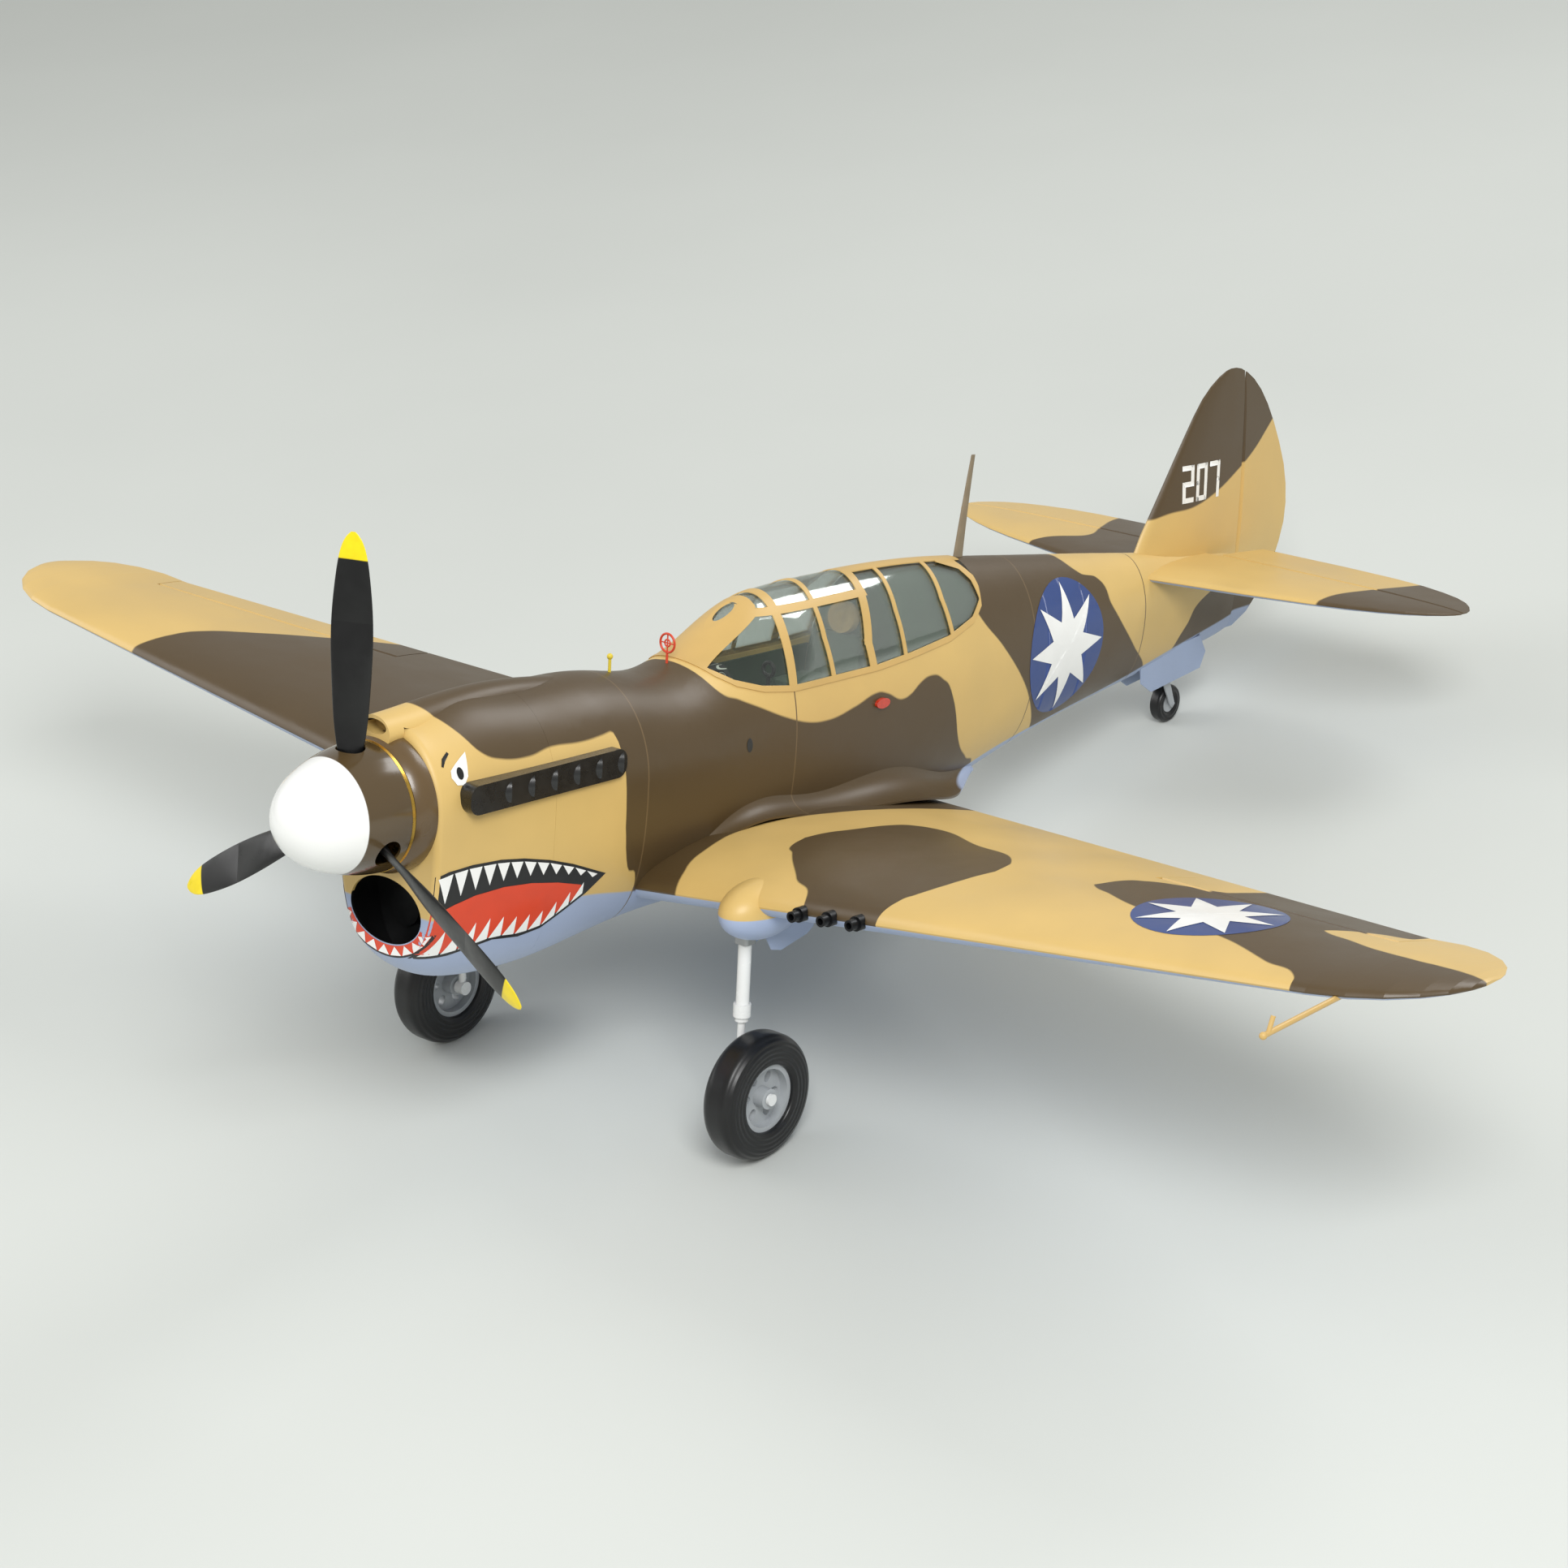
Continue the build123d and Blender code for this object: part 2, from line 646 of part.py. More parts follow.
with BuildPart() as spinner:
    for inset, mode in ((0.0, Mode.ADD), (SPINNER_WALL, Mode.SUBTRACT)):
        outline = [(y + 2 * inset * (1 - y / SPINNER_REAR), max(r - inset, 0)) for y, r in SPINNER_POINTS]
        with BuildSketch(Plane.YZ):
            with BuildLine():
                Spline(*outline)
                Polyline(outline[-1], (SPINNER_REAR, 0), outline[0])
            make_face()
        revolve(axis=Axis.Y, mode=mode)
    for turn in range(3):
        with BuildSketch(Plane.XY.rotated((0, 120 * turn, 0))):
            with Locations((0, PROP_Y)):
                Ellipse(13, 10.5)
        extrude(amount=80, mode=Mode.SUBTRACT)
keep(spinner, "spinner")

with BuildPart() as spinner_backplate:
    with BuildSketch(station(SPINNER_REAR)):
        Circle(SPINNER_R)
        Circle(CRANK_R, mode=Mode.SUBTRACT)
    extrude(amount=-BACKPLATE)
keep(spinner_backplate, "spinner_backplate")

# radius, chord, pitch angle and thickness of a blade
BLADE = (
    (12, 15, 48, 9.5),
    (45, 19, 42, 7.5),
    (85, 29, 34, 5.6),
    (130, 34, 28, 4.4),
    (175, 31, 23, 3.4),
    (205, 22, 20, 2.6),
    (216, 12, 19, 1.8),
    (PROP_R, 4, 16, 1.0),
)
HUB_FRONT = 58.0

with BuildPart() as blade:
    for r, chord, pitch, thick in BLADE:
        turn = math.radians(pitch)
        with BuildSketch(Plane(origin=(0, PROP_Y, r), x_dir=(math.cos(turn), math.sin(turn), 0), z_dir=(0, 0, 1))):
            Ellipse(chord / 2, thick / 2)
    loft()

with BuildPart() as propeller:
    with BuildSketch(station(HUB_FRONT)):
        Circle(17)
    extrude(amount=-(SPINNER_REAR - HUB_FRONT))
    for turn in range(3):
        add(blade.part.rotate(Axis.Y, 120 * turn))
    with BuildSketch(station(HUB_FRONT - 1)):
        Circle(CRANK_R)
    extrude(amount=-40, mode=Mode.SUBTRACT)
keep(propeller, "propeller")

# ---------------------------------------------------------------- engine bay
CASE_FRONT, CASE_REAR, SHAFT_REAR = 128.0, 196.0, 170.0
BEARING_GAP = 0.05
SHAFT_FRONT = HUB_FRONT - 11

with BuildPart() as crankshaft:
    with BuildSketch(station(SHAFT_FRONT)):
        Circle(CRANK_R)
    extrude(amount=-(SHAFT_REAR - SHAFT_FRONT))
    with BuildSketch(station(SPINNER_LEN)):
        Circle(12)
    extrude(amount=-8)
    with BuildSketch(station(HUB_FRONT - 9)):
        RegularPolygon(7, 6)
    extrude(amount=-7)
    with BuildSketch(station(HUB_FRONT - 2)):
        Circle(11)
    extrude(amount=-2)
keep(crankshaft, "crankshaft")

with BuildPart() as engine_crankcase:
    with BuildSketch(station(SPINNER_LEN + 12)):
        Circle(10.5)
    extrude(amount=-30)
    with BuildSketch(station(CASE_FRONT)):
        Circle(19)
        Rectangle(56, 7)
    extrude(amount=-(CASE_REAR - CASE_FRONT))
    with BuildSketch(station(SPINNER_LEN)):
        Circle(CRANK_R + BEARING_GAP)
    extrude(amount=-(SHAFT_REAR + 4 - SPINNER_LEN), mode=Mode.SUBTRACT)

CYLINDER_Y, CYLINDER_BOTTOM = 160.0, -62.0
with BuildPart() as engine_cylinder:
    with BuildSketch(Plane.XY.offset(CYLINDER_BOTTOM)):
        with Locations((0, CYLINDER_Y)):
            Circle(14)
    extrude(amount=-CYLINDER_BOTTOM - 12)
    for level in range(7):
        with BuildSketch(Plane.XY.offset(CYLINDER_BOTTOM + 5 * level)):
            with Locations((0, CYLINDER_Y)):
                Circle(19)
        extrude(amount=2)
    with BuildSketch(Plane.XY.offset(CYLINDER_BOTTOM - 9)):
        with Locations((0, CYLINDER_Y)):
            Circle(4)
    extrude(amount=10)
    with BuildSketch(station(CASE_FRONT)):
        Circle(19)
        Rectangle(56, 7)
    extrude(amount=-(CASE_REAR - CASE_FRONT), mode=Mode.SUBTRACT)

with BuildPart() as engine:
    add([engine_crankcase.part, engine_cylinder.part])
keep(engine, "engine")

with BuildPart() as muffler:
    with BuildSketch(station(146)):
        with Locations((-33, -50)):
            Circle(12)
    extrude(amount=-64)
    fillet(muffler.edges(), radius=5)
    with BuildSketch(span_plane(-26)):
        with Locations((CYLINDER_Y, -50)):
            Circle(6)
    extrude(amount=14)
    add(engine_cylinder.part, mode=Mode.SUBTRACT)
keep(muffler, "muffler")

with BuildPart() as engine_mount:
    with BuildSketch(station(FIREWALL_Y - 6)):
        Circle(30)
    extrude(amount=-6)
    with BuildSketch(station(CASE_FRONT + 8)):
        for side in (-1, 1):
            with Locations((side * 24.5, -8.5)):
                Rectangle(8, 10)
    extrude(amount=-(FIREWALL_Y - 6 - CASE_FRONT - 8))
    add([engine_cylinder.part, muffler.part], mode=Mode.SUBTRACT)
keep(engine_mount, "engine_mount")

RADIATOR_Y = 152.0
with BuildPart() as radiator_insert:
    add(cowl_bay.part)
    add(slab(RADIATOR_Y, RADIATOR_Y + 2, -200, -78).part, mode=Mode.INTERSECT)
    with BuildSketch(station(RADIATOR_Y - 4)):
        with Locations((-18, -100), (18, -100)):
            Circle(16)
        with Locations((0, -122)):
            Circle(11)
    extrude(amount=-4)
keep(radiator_insert, "radiator_insert")

with BuildPart() as fuel_tank:
    with BuildSketch(station(FIREWALL_Y + 6)):
        with Locations((0, -28)):
            Circle(9)
    extrude(amount=-8)
    with BuildSketch(station(FIREWALL_Y + 14)):
        with Locations((0, -28)):
            RectangleRounded(60, 56, 12)
    extrude(amount=-90)
keep(fuel_tank, "fuel_tank")

# ---------------------------------------------------------------- formers and radio gear
FORMERS = ((338.0, 42.0), (850.0, 28.0), (970.0, 22.0), (1078.0, 15.0))
TRAY_Z, TRAY_FRONT, TRAY_REAR = -50.0, 480.0, 640.0
STRUT_R, BRACKET_TOP, BRACKET_BOTTOM = 2.0, -24.0, -46.0
SERVO_PLACES = ((22.0, 585.0), (-22.0, 585.0), (0.0, 515.0))


def plate(y0, y1, low=-260.0, high=260.0):
    """A plywood plate that fills the body between two stations and two heights."""
    with BuildPart() as made:
        add(inner_mould.part)
        add(slab(y0, y1, low, high).part, mode=Mode.INTERSECT)
    return made


def former(y, hole):
    """A ring former."""
    with BuildPart() as ring:
        add(plate(y, y + 3).part)
        with BuildSketch(station(y - 1)):
            Circle(hole)
        extrude(amount=-5, mode=Mode.SUBTRACT)
    return ring


with BuildPart() as tray:
    add(plate(TRAY_FRONT, TRAY_REAR, TRAY_Z, TRAY_Z + 3).part)
    with BuildSketch(Plane.XY.offset(TRAY_Z - 1)):
        with Locations(*SERVO_PLACES):
            Rectangle(20, 40)
    extrude(amount=5, mode=Mode.SUBTRACT)

with BuildPart() as tail_bearing:
    add(plate(TAIL_PIVOT_Y - 12, TAIL_PIVOT_Y + 12, BRACKET_BOTTOM, BRACKET_TOP).part)
    with BuildSketch(Plane.XY.offset(BRACKET_BOTTOM - 1)):
        with Locations((0, TAIL_PIVOT_Y)):
            Circle(STRUT_R + BEARING_GAP)
    extrude(amount=BRACKET_TOP - BRACKET_BOTTOM - 4, mode=Mode.SUBTRACT)

with BuildPart() as formers:
    add(plate(FIREWALL_Y, FIREWALL_Y + 6).part)
    for y, hole in FORMERS:
        add(former(y, hole).part)
    add([saddle.part, wing_solid.part, wing_twin.part], mode=Mode.SUBTRACT)
    add([tray.part, tail_bearing.part])
keep(formers, "fuselage_formers")

with BuildPart() as servos:
    for x, y in SERVO_PLACES:
        with BuildSketch(Plane.XY.offset(TRAY_Z - 22)):
            with Locations((x, y)):
                Rectangle(20, 40)
        extrude(amount=36)
        with BuildSketch(Plane.XY.offset(TRAY_Z + 3)):
            with Locations((x, y)):
                Rectangle(19, 54)
        extrude(amount=2.5)
        with BuildSketch(Plane.XY.offset(TRAY_Z + 14)):
            with Locations((x, y - 10)):
                Circle(3)
        extrude(amount=3)
        with BuildSketch(Plane.XY.offset(TRAY_Z + 17)):
            with Locations((x, y - 10)):
                SlotOverall(28, 6)
        extrude(amount=2)
keep(servos, "servos")

with BuildPart() as battery_pack:
    with BuildSketch(station(341)):
        for x in (-22.5, -7.5, 7.5, 22.5):
            with Locations((x, -52)):
                Circle(7.6)
    extrude(amount=-50)
keep(battery_pack, "battery_pack")

with BuildPart() as receiver:
    with Locations((0, 446, -52)):
        Box(34, 48, 14)
    with Locations((0, 446, -50)):
        Box(24, 60, 4)
keep(receiver, "receiver")

# ---------------------------------------------------------------- wing structure
SPAR_Y, SPAR_W = 428.0, 8.0
RIB_STATIONS = (72.0, 235.0, 330.0, 425.0)
RIB = 3.0

aileron_spar_block = hinge_block(BAY_START, AILERON_AXIS, BAY_LENGTH, -1.2, -5.2, 0.0)
with BuildPart() as main_spar:
    add(wing_hollow.part)
    with BuildSketch(station(SPAR_Y)):
        Rectangle(TIP_START, 400, align=(Align.MIN, Align.CENTER))
    extrude(amount=-SPAR_W, mode=Mode.INTERSECT)
    add(gear_space.part, mode=Mode.SUBTRACT)

with BuildPart() as spar_left:
    add(wing_hollow.part)
    add(aileron_spar_block.part, mode=Mode.INTERSECT)
    add(main_spar.part)
keep_pair(spar_left, "wing_spars")


def rib(x):
    """A wing rib at a span station."""
    with BuildPart() as web:
        add(wing_hollow.part)
        with BuildSketch(span_plane(x)):
            with Locations((500, 0)):
                Rectangle(600, 400)
        extrude(amount=RIB, mode=Mode.INTERSECT)
    return web


with BuildPart() as ribs_left:
    for x in RIB_STATIONS:
        add(rib(x).part)
    add([gear_space.part, spar_left.part, aileron_bay.part], mode=Mode.SUBTRACT)
keep_pair(ribs_left, "wing_ribs")

WELL_WALL = 1.6
WELL_BOTTOM = PIVOT_Z - 60
with BuildPart() as wheel_well_left:
    with BuildSketch(Plane.XY.offset(WELL_BOTTOM)):
        with Locations((LEG_X, WELL_Y)):
            Circle(WELL_R)
    extrude(amount=WELL_TOP - WELL_BOTTOM)
    with BuildSketch(Plane.XY.offset(WELL_BOTTOM)):
        with Locations((LEG_X, WELL_Y)):
            Circle(WELL_R - WELL_WALL)
    extrude(amount=WELL_TOP - WELL_BOTTOM - WELL_WALL, mode=Mode.SUBTRACT)
    with BuildSketch(Plane.XY.offset(WELL_BOTTOM)):
        with Locations((LEG_X, WELL_Y - WELL_R / 2)):
            Rectangle(2 * SLOT_HALF, WELL_R)
    extrude(amount=SLOT_TOP - WELL_BOTTOM, mode=Mode.SUBTRACT)
    add(wing_hollow.part, mode=Mode.INTERSECT)
keep_pair(wheel_well_left, "wheel_wells")

with BuildPart() as aileron_servo:
    with Locations((RIB_STATIONS[3] + RIB, 470, WING_Z + DIHEDRAL * 440 + 7.5)):
        Box(22, 30, 12, align=(Align.MIN, Align.CENTER, Align.CENTER))
keep_pair(aileron_servo, "aileron_servos")

# y, height above the chord line, reach out from the side and rise up the side of the root fillet
FILLET = (
    (358, 12, 4, 4),
    (435, 30, 14, 12),
    (530, 29, 24, 20),
    (620, 20, 34, 28),
    (700, 9, 40, 34),
    (746, 0, 36, 34),
    (786, 2, 20, 24),
    (818, 6, 6, 10),
)


def body_side(y, z):
    """Half width of the body at a station and height below its widest point."""
    for before, after in zip(FUSELAGE, FUSELAGE[1:]):
        if before[0] <= y <= after[0]:
            share = (y - before[0]) / (after[0] - before[0])
            _, w, middle, _, bottom, _, k = [a + share * (b - a) for a, b in zip(before, after)]
    low, high = 0.0, 1.0
    for _ in range(30):
        t = (low + high) / 2
        depth = (3 * k * t * (1 - t) ** 2 + 3 * t**2 * (1 - t) + t**3) * (middle - bottom)
        if depth < middle - z:
            low = t
        else:
            high = t
    return w * ((1 - t) ** 3 + 3 * t * (1 - t) ** 2 + 3 * k * t**2 * (1 - t))


with BuildPart() as fillet_left:
    for y, lift, reach, rise in FILLET:
        z = WING_Z + DIHEDRAL * 60 + lift
        side = body_side(y, z)
        top = (body_side(y, z + rise) - 1.5, z + rise)
        out = (side + reach, z + DIHEDRAL * reach)
        with BuildSketch(station(y)):
            with BuildLine():
                Line((side - 9, z - 5), (side - 9, z + rise))
                Line((side - 9, z + rise), top)
                Bezier(top, (side + 0.12 * reach, z + 0.25 * rise), out)
                Line(out, (out[0], out[1] - 2))
                Line((out[0], out[1] - 2), (side - 9, z - 5))
            make_face()
    loft()
    add([mould.part, wing_solid.part], mode=Mode.SUBTRACT)
keep_pair(fillet_left, "root_fillets")

# ---------------------------------------------------------------- main gear
FAIRING_X, FAIRING_Y, FAIRING_Z = 171.0, 363.0, -101.0
FAIRING_LEN, FAIRING_R = 43.0, 25.0
fairing_axis = Axis((FAIRING_X, FAIRING_Y, FAIRING_Z), (0, 1, 0))

with BuildPart() as fairing_left:
    with BuildSketch(Plane(origin=(FAIRING_X, FAIRING_Y, FAIRING_Z), x_dir=(0, 1, 0), z_dir=(1, 0, 0))):
        Ellipse(FAIRING_LEN, FAIRING_R)
        Rectangle(2 * FAIRING_LEN, FAIRING_R, align=(Align.CENTER, Align.MIN), mode=Mode.INTERSECT)
    revolve(axis=fairing_axis)
    add([wing_solid.part, gear_space.part], mode=Mode.SUBTRACT)
keep_pair(fairing_left, "gear_fairings")

DOOR = 1.2
DOOR_OUTLINE = ((362, -90), (426, -90), (426, -129), (418, -134), (386, -141), (374, -138), (364, -122))
with BuildPart() as gear_doors_left:
    for x in (LEG_X - SLOT_HALF - DOOR, LEG_X + SLOT_HALF):
        with BuildSketch(span_plane(x)):
            with BuildLine():
                Polyline(*DOOR_OUTLINE, close=True)
            make_face()
        extrude(amount=DOOR)
    add([wing_solid.part, fairing_left.part], mode=Mode.SUBTRACT)
keep_pair(gear_doors_left, "gear_doors")

PIN_R, CHEEK_X, CHEEK = 2.0, 8.2, 3.0
with BuildPart() as retract_unit:
    with BuildSketch(Plane.XY.offset(SLOT_TOP)):
        with Locations((LEG_X, WING_LE_TIP)):
            Rectangle(2 * SLOT_HALF, SPAR_Y - WING_LE_TIP, align=(Align.CENTER, Align.MIN))
    extrude(amount=3.5)
    add(wing_hollow.part, mode=Mode.INTERSECT)
    for side in (-1, 1):
        with BuildSketch(span_plane(LEG_X + side * (CHEEK_X + CHEEK / 2) - CHEEK / 2)):
            with BuildLine():
                Polyline(
                    (PIVOT_Y - 8, SLOT_TOP),
                    (PIVOT_Y + 22, SLOT_TOP),
                    (PIVOT_Y + 6, PIVOT_Z - 6),
                    (PIVOT_Y - 6, PIVOT_Z - 6),
                    close=True,
                )
            make_face()
        extrude(amount=CHEEK)
    with BuildSketch(span_plane(LEG_X - CHEEK_X - CHEEK)):
        with Locations((PIVOT_Y, PIVOT_Z)):
            Circle(PIN_R)
    extrude(amount=2 * (CHEEK_X + CHEEK))
keep_pair(retract_unit, "retract_units")

TRUNNION_BOTTOM = PIVOT_Z - 13.0
LEG_TOP = PIVOT_Z - 4.0
with BuildPart() as trunnion:
    with BuildSketch(Plane.XY.offset(TRUNNION_BOTTOM)):
        with Locations((LEG_X, PIVOT_Y)):
            RectangleRounded(14, 14, 3)
    extrude(amount=PIVOT_Z + 7 - TRUNNION_BOTTOM)
    with BuildSketch(span_plane(LEG_X - 8)):
        with Locations((PIVOT_Y, PIVOT_Z)):
            Circle(PIN_R + BEARING_GAP)
    extrude(amount=16, mode=Mode.SUBTRACT)
    with BuildSketch(Plane.XY.offset(TRUNNION_BOTTOM)):
        with Locations((LEG_X, PIVOT_Y)):
            Circle(LEG_R + BEARING_GAP)
    extrude(amount=LEG_TOP + 0.4 - TRUNNION_BOTTOM, mode=Mode.SUBTRACT)
keep(trunnion, "trunnion_left")
keep(mirrored(trunnion), "trunnion_right")

AXLE_Z, AXLE_R = PIVOT_Z - LEG_LENGTH, 2.5
WHEEL_X = LEG_X + WHEEL_OFFSET
HUB_HALF = 14.0
NUT_X = WHEEL_X + HUB_HALF + 0.5
# top, bottom and radius of the leg's sleeve, collar and ring
LEG_STEPS = ((-0.3, -52, 5.6), (-52, -63, 7.4), (-63, -67, 5.6))
with BuildPart() as leg_left:
    with BuildSketch(Plane.XY.offset(AXLE_Z)):
        with Locations((LEG_X, PIVOT_Y)):
            Circle(LEG_R)
    extrude(amount=LEG_TOP - AXLE_Z)
    for top, bottom, radius in LEG_STEPS:
        with BuildSketch(Plane.XY.offset(TRUNNION_BOTTOM + bottom)):
            with Locations((LEG_X, PIVOT_Y)):
                Circle(radius)
        extrude(amount=top - bottom)
    with BuildSketch(span_plane(LEG_X - 5)):
        with Locations((PIVOT_Y, AXLE_Z)):
            Circle(6)
    extrude(amount=9)
    with BuildSketch(span_plane(LEG_X)):
        with Locations((PIVOT_Y, AXLE_Z)):
            Circle(AXLE_R)
    extrude(amount=NUT_X - LEG_X)
    with BuildSketch(span_plane(NUT_X)):
        with Locations((PIVOT_Y, AXLE_Z)):
            Circle(5)
    extrude(amount=3)
keep(leg_left, "leg_left")
keep(mirrored(leg_left), "leg_right")

wheel_axis = Axis((WHEEL_X, PIVOT_Y, AXLE_Z), (1, 0, 0))
wheel_plane = Plane(origin=(WHEEL_X, PIVOT_Y, AXLE_Z), x_dir=(1, 0, 0), z_dir=(0, -1, 0))
RIM_R = 29.0

with BuildPart() as tyre_left:
    with BuildSketch(wheel_plane) as tread:
        with Locations((0, (RIM_R + WHEEL_R) / 2)):
            Rectangle(WHEEL_W, WHEEL_R - RIM_R)
        fillet(tread.vertices().sort_by(Axis.Y)[-2:], radius=12)
        fillet(tread.vertices().sort_by(Axis.Y)[:2], radius=4)
    revolve(axis=wheel_axis)
keep(tyre_left, "tyre_left")
keep(mirrored(tyre_left), "tyre_right")

with BuildPart() as hub_left:
    with BuildSketch(wheel_plane):
        with Locations((0, RIM_R - 2)):
            Rectangle(23, 4)
        with Locations((0, 15)):
            Rectangle(7, 24)
        with Locations((0, 5.5)):
            Rectangle(2 * HUB_HALF, 6.5)
    revolve(axis=wheel_axis)
    with BuildSketch(span_plane(WHEEL_X - 10)):
        with Locations((PIVOT_Y, AXLE_Z)):
            with PolarLocations(17, 6):
                Ellipse(5, 3.6)
    extrude(amount=20, mode=Mode.SUBTRACT)
    with BuildSketch(span_plane(WHEEL_X - 20)):
        with Locations((PIVOT_Y, AXLE_Z)):
            Circle(AXLE_R + BEARING_GAP)
    extrude(amount=40, mode=Mode.SUBTRACT)
keep(hub_left, "hub_left")
keep(mirrored(hub_left), "hub_right")

# ---------------------------------------------------------------- tail gear
CROWN_Z = TAIL_WHEEL_Z + TAIL_WHEEL_R + 4
FORK_IN, FORK_OUT = 7.6, 9.2
TAIL_AXLE_R = 1.5
with BuildPart() as tail_fork:
    with BuildSketch(Plane.XY.offset(CROWN_Z)):
        with Locations((0, TAIL_PIVOT_Y)):
            Circle(STRUT_R)
    extrude(amount=BRACKET_TOP - 6 - CROWN_Z)
    with BuildSketch(Plane.XY.offset(CROWN_Z)):
        with Locations((0, TAIL_PIVOT_Y)):
            RectangleRounded(2 * FORK_OUT, 11, 1)
            Circle(4)
    extrude(amount=4)
    for x in (-FORK_OUT, FORK_IN):
        with BuildSketch(span_plane(x)):
            with BuildLine():
                Polyline(
                    (TAIL_PIVOT_Y - 5.5, CROWN_Z + 4),
                    (TAIL_PIVOT_Y + 5.5, CROWN_Z + 4),
                    (TAIL_WHEEL_Y + 4, TAIL_WHEEL_Z),
                    (TAIL_WHEEL_Y, TAIL_WHEEL_Z - 4),
                    (TAIL_WHEEL_Y - 4, TAIL_WHEEL_Z),
                    close=True,
                )
            make_face()
        extrude(amount=FORK_OUT - FORK_IN)
    with BuildSketch(span_plane(-FORK_OUT - 1)):
        with Locations((TAIL_WHEEL_Y, TAIL_WHEEL_Z)):
            Circle(TAIL_AXLE_R)
    extrude(amount=2 * FORK_OUT + 2)
keep(tail_fork, "tail_fork")

tail_axis = Axis((0, TAIL_WHEEL_Y, TAIL_WHEEL_Z), (1, 0, 0))
tail_plane = Plane(origin=(0, TAIL_WHEEL_Y, TAIL_WHEEL_Z), x_dir=(1, 0, 0), z_dir=(0, -1, 0))
TAIL_RIM_R = 9.0
with BuildPart() as tail_tyre:
    with BuildSketch(tail_plane):
        with Locations((0, (TAIL_RIM_R + TAIL_WHEEL_R) / 2)):
            RectangleRounded(13, TAIL_WHEEL_R - TAIL_RIM_R, 3.5)
    revolve(axis=tail_axis)
keep(tail_tyre, "tail_tyre")

with BuildPart() as tail_hub:
    with BuildSketch(tail_plane):
        with Locations((0, TAIL_RIM_R / 2)):
            Rectangle(9, TAIL_RIM_R)
    revolve(axis=tail_axis)
    with BuildSketch(span_plane(-10)):
        with Locations((TAIL_WHEEL_Y, TAIL_WHEEL_Z)):
            Circle(TAIL_AXLE_R + BEARING_GAP)
    extrude(amount=20, mode=Mode.SUBTRACT)
keep(tail_hub, "tail_hub")

TAIL_DOOR_OUTLINE = ((1102, -50), (1202, -40), (1214, -58), (1206, -74), (1124, -85), (1106, -74))
with BuildPart() as tail_doors:
    for x in (-TAIL_SLOT_HALF - 1.4, TAIL_SLOT_HALF):
        with BuildSketch(span_plane(x)):
            with BuildLine():
                Polyline(*TAIL_DOOR_OUTLINE, close=True)
            make_face()
        extrude(amount=1.4)
    add(mould.part, mode=Mode.SUBTRACT)
keep(tail_doors, "tail_doors")

# ---------------------------------------------------------------- guns, stacks, aerials and sights
GUN_STATIONS = (235.0, 265.0, 294.0)
with BuildPart() as guns_left:
    for x in GUN_STATIONS:
        with BuildSketch(station(326)):
            with Locations((x, WING_Z + DIHEDRAL * x)):
                Circle(4.6)
                Circle(2.8, mode=Mode.SUBTRACT)
        extrude(amount=-30)
        with BuildSketch(station(334)):
            with Locations((x, WING_Z + DIHEDRAL * x)):
                Circle(6.2)
        extrude(amount=-22)
    add(wing_solid.part, mode=Mode.SUBTRACT)
keep_pair(guns_left, "wing_guns")

STACK_Z, STACK_FRONT, STACK_PITCH = 10.0, 150.0, 25.5
with BuildPart() as exhaust_left:
    for i in range(6):
        root = Plane(origin=(48, STACK_FRONT + STACK_PITCH * i, STACK_Z), x_dir=(0, 0, 1), z_dir=(0.6, 0.8, 0))
        with BuildSketch(root):
            Ellipse(9.5, 6)
        extrude(amount=34)
        with BuildSketch(root.offset(26)):
            Ellipse(7.5, 4.2)
        extrude(amount=10, mode=Mode.SUBTRACT)
    with BuildSketch(span_plane(50)):
        with Locations((STACK_FRONT + 70, STACK_Z)):
            RectangleRounded(176, 24, 10)
    extrude(amount=20)
    add(mould.part, mode=Mode.SUBTRACT)
keep_pair(exhaust_left, "exhausts")

with BuildPart() as antenna_mast:
    for z, y, chord, thick in ((84, 817, 13, 6), (130, 823, 9, 4.5), (186, 832, 5, 2.6)):
        with BuildSketch(Plane.XY.offset(z)):
            with Locations((0, y)):
                Ellipse(thick / 2, chord / 2)
    loft()
    add(mould.part, mode=Mode.SUBTRACT)
keep(antenna_mast, "antenna_mast")

with BuildPart() as gun_sights:
    with BuildSketch(Plane.XY.offset(52)):
        with Locations((0, 428)):
            Circle(1.1)
    extrude(amount=16)
    with Locations((0, 428, 75)):
        Torus(8, 1.0, rotation=(90, 0, 0))
        Torus(3, 0.7, rotation=(90, 0, 0))
        Box(16, 0.9, 0.9)
        Box(0.9, 0.9, 16)
    with BuildSketch(Plane.XY.offset(52)):
        with Locations((0, 358)):
            Circle(1.3)
    extrude(amount=22)
    with Locations((0, 358, 75)):
        Sphere(2.6)
    add(mould.part, mode=Mode.SUBTRACT)
keep(gun_sights, "gun_sights")

with BuildPart() as side_light:
    with BuildSketch(span_plane(50)):
        with Locations((641, -1)):
            Ellipse(9, 4.5)
    extrude(amount=15)
    add(mould.part, mode=Mode.SUBTRACT)
keep_pair(side_light, "side_lights")

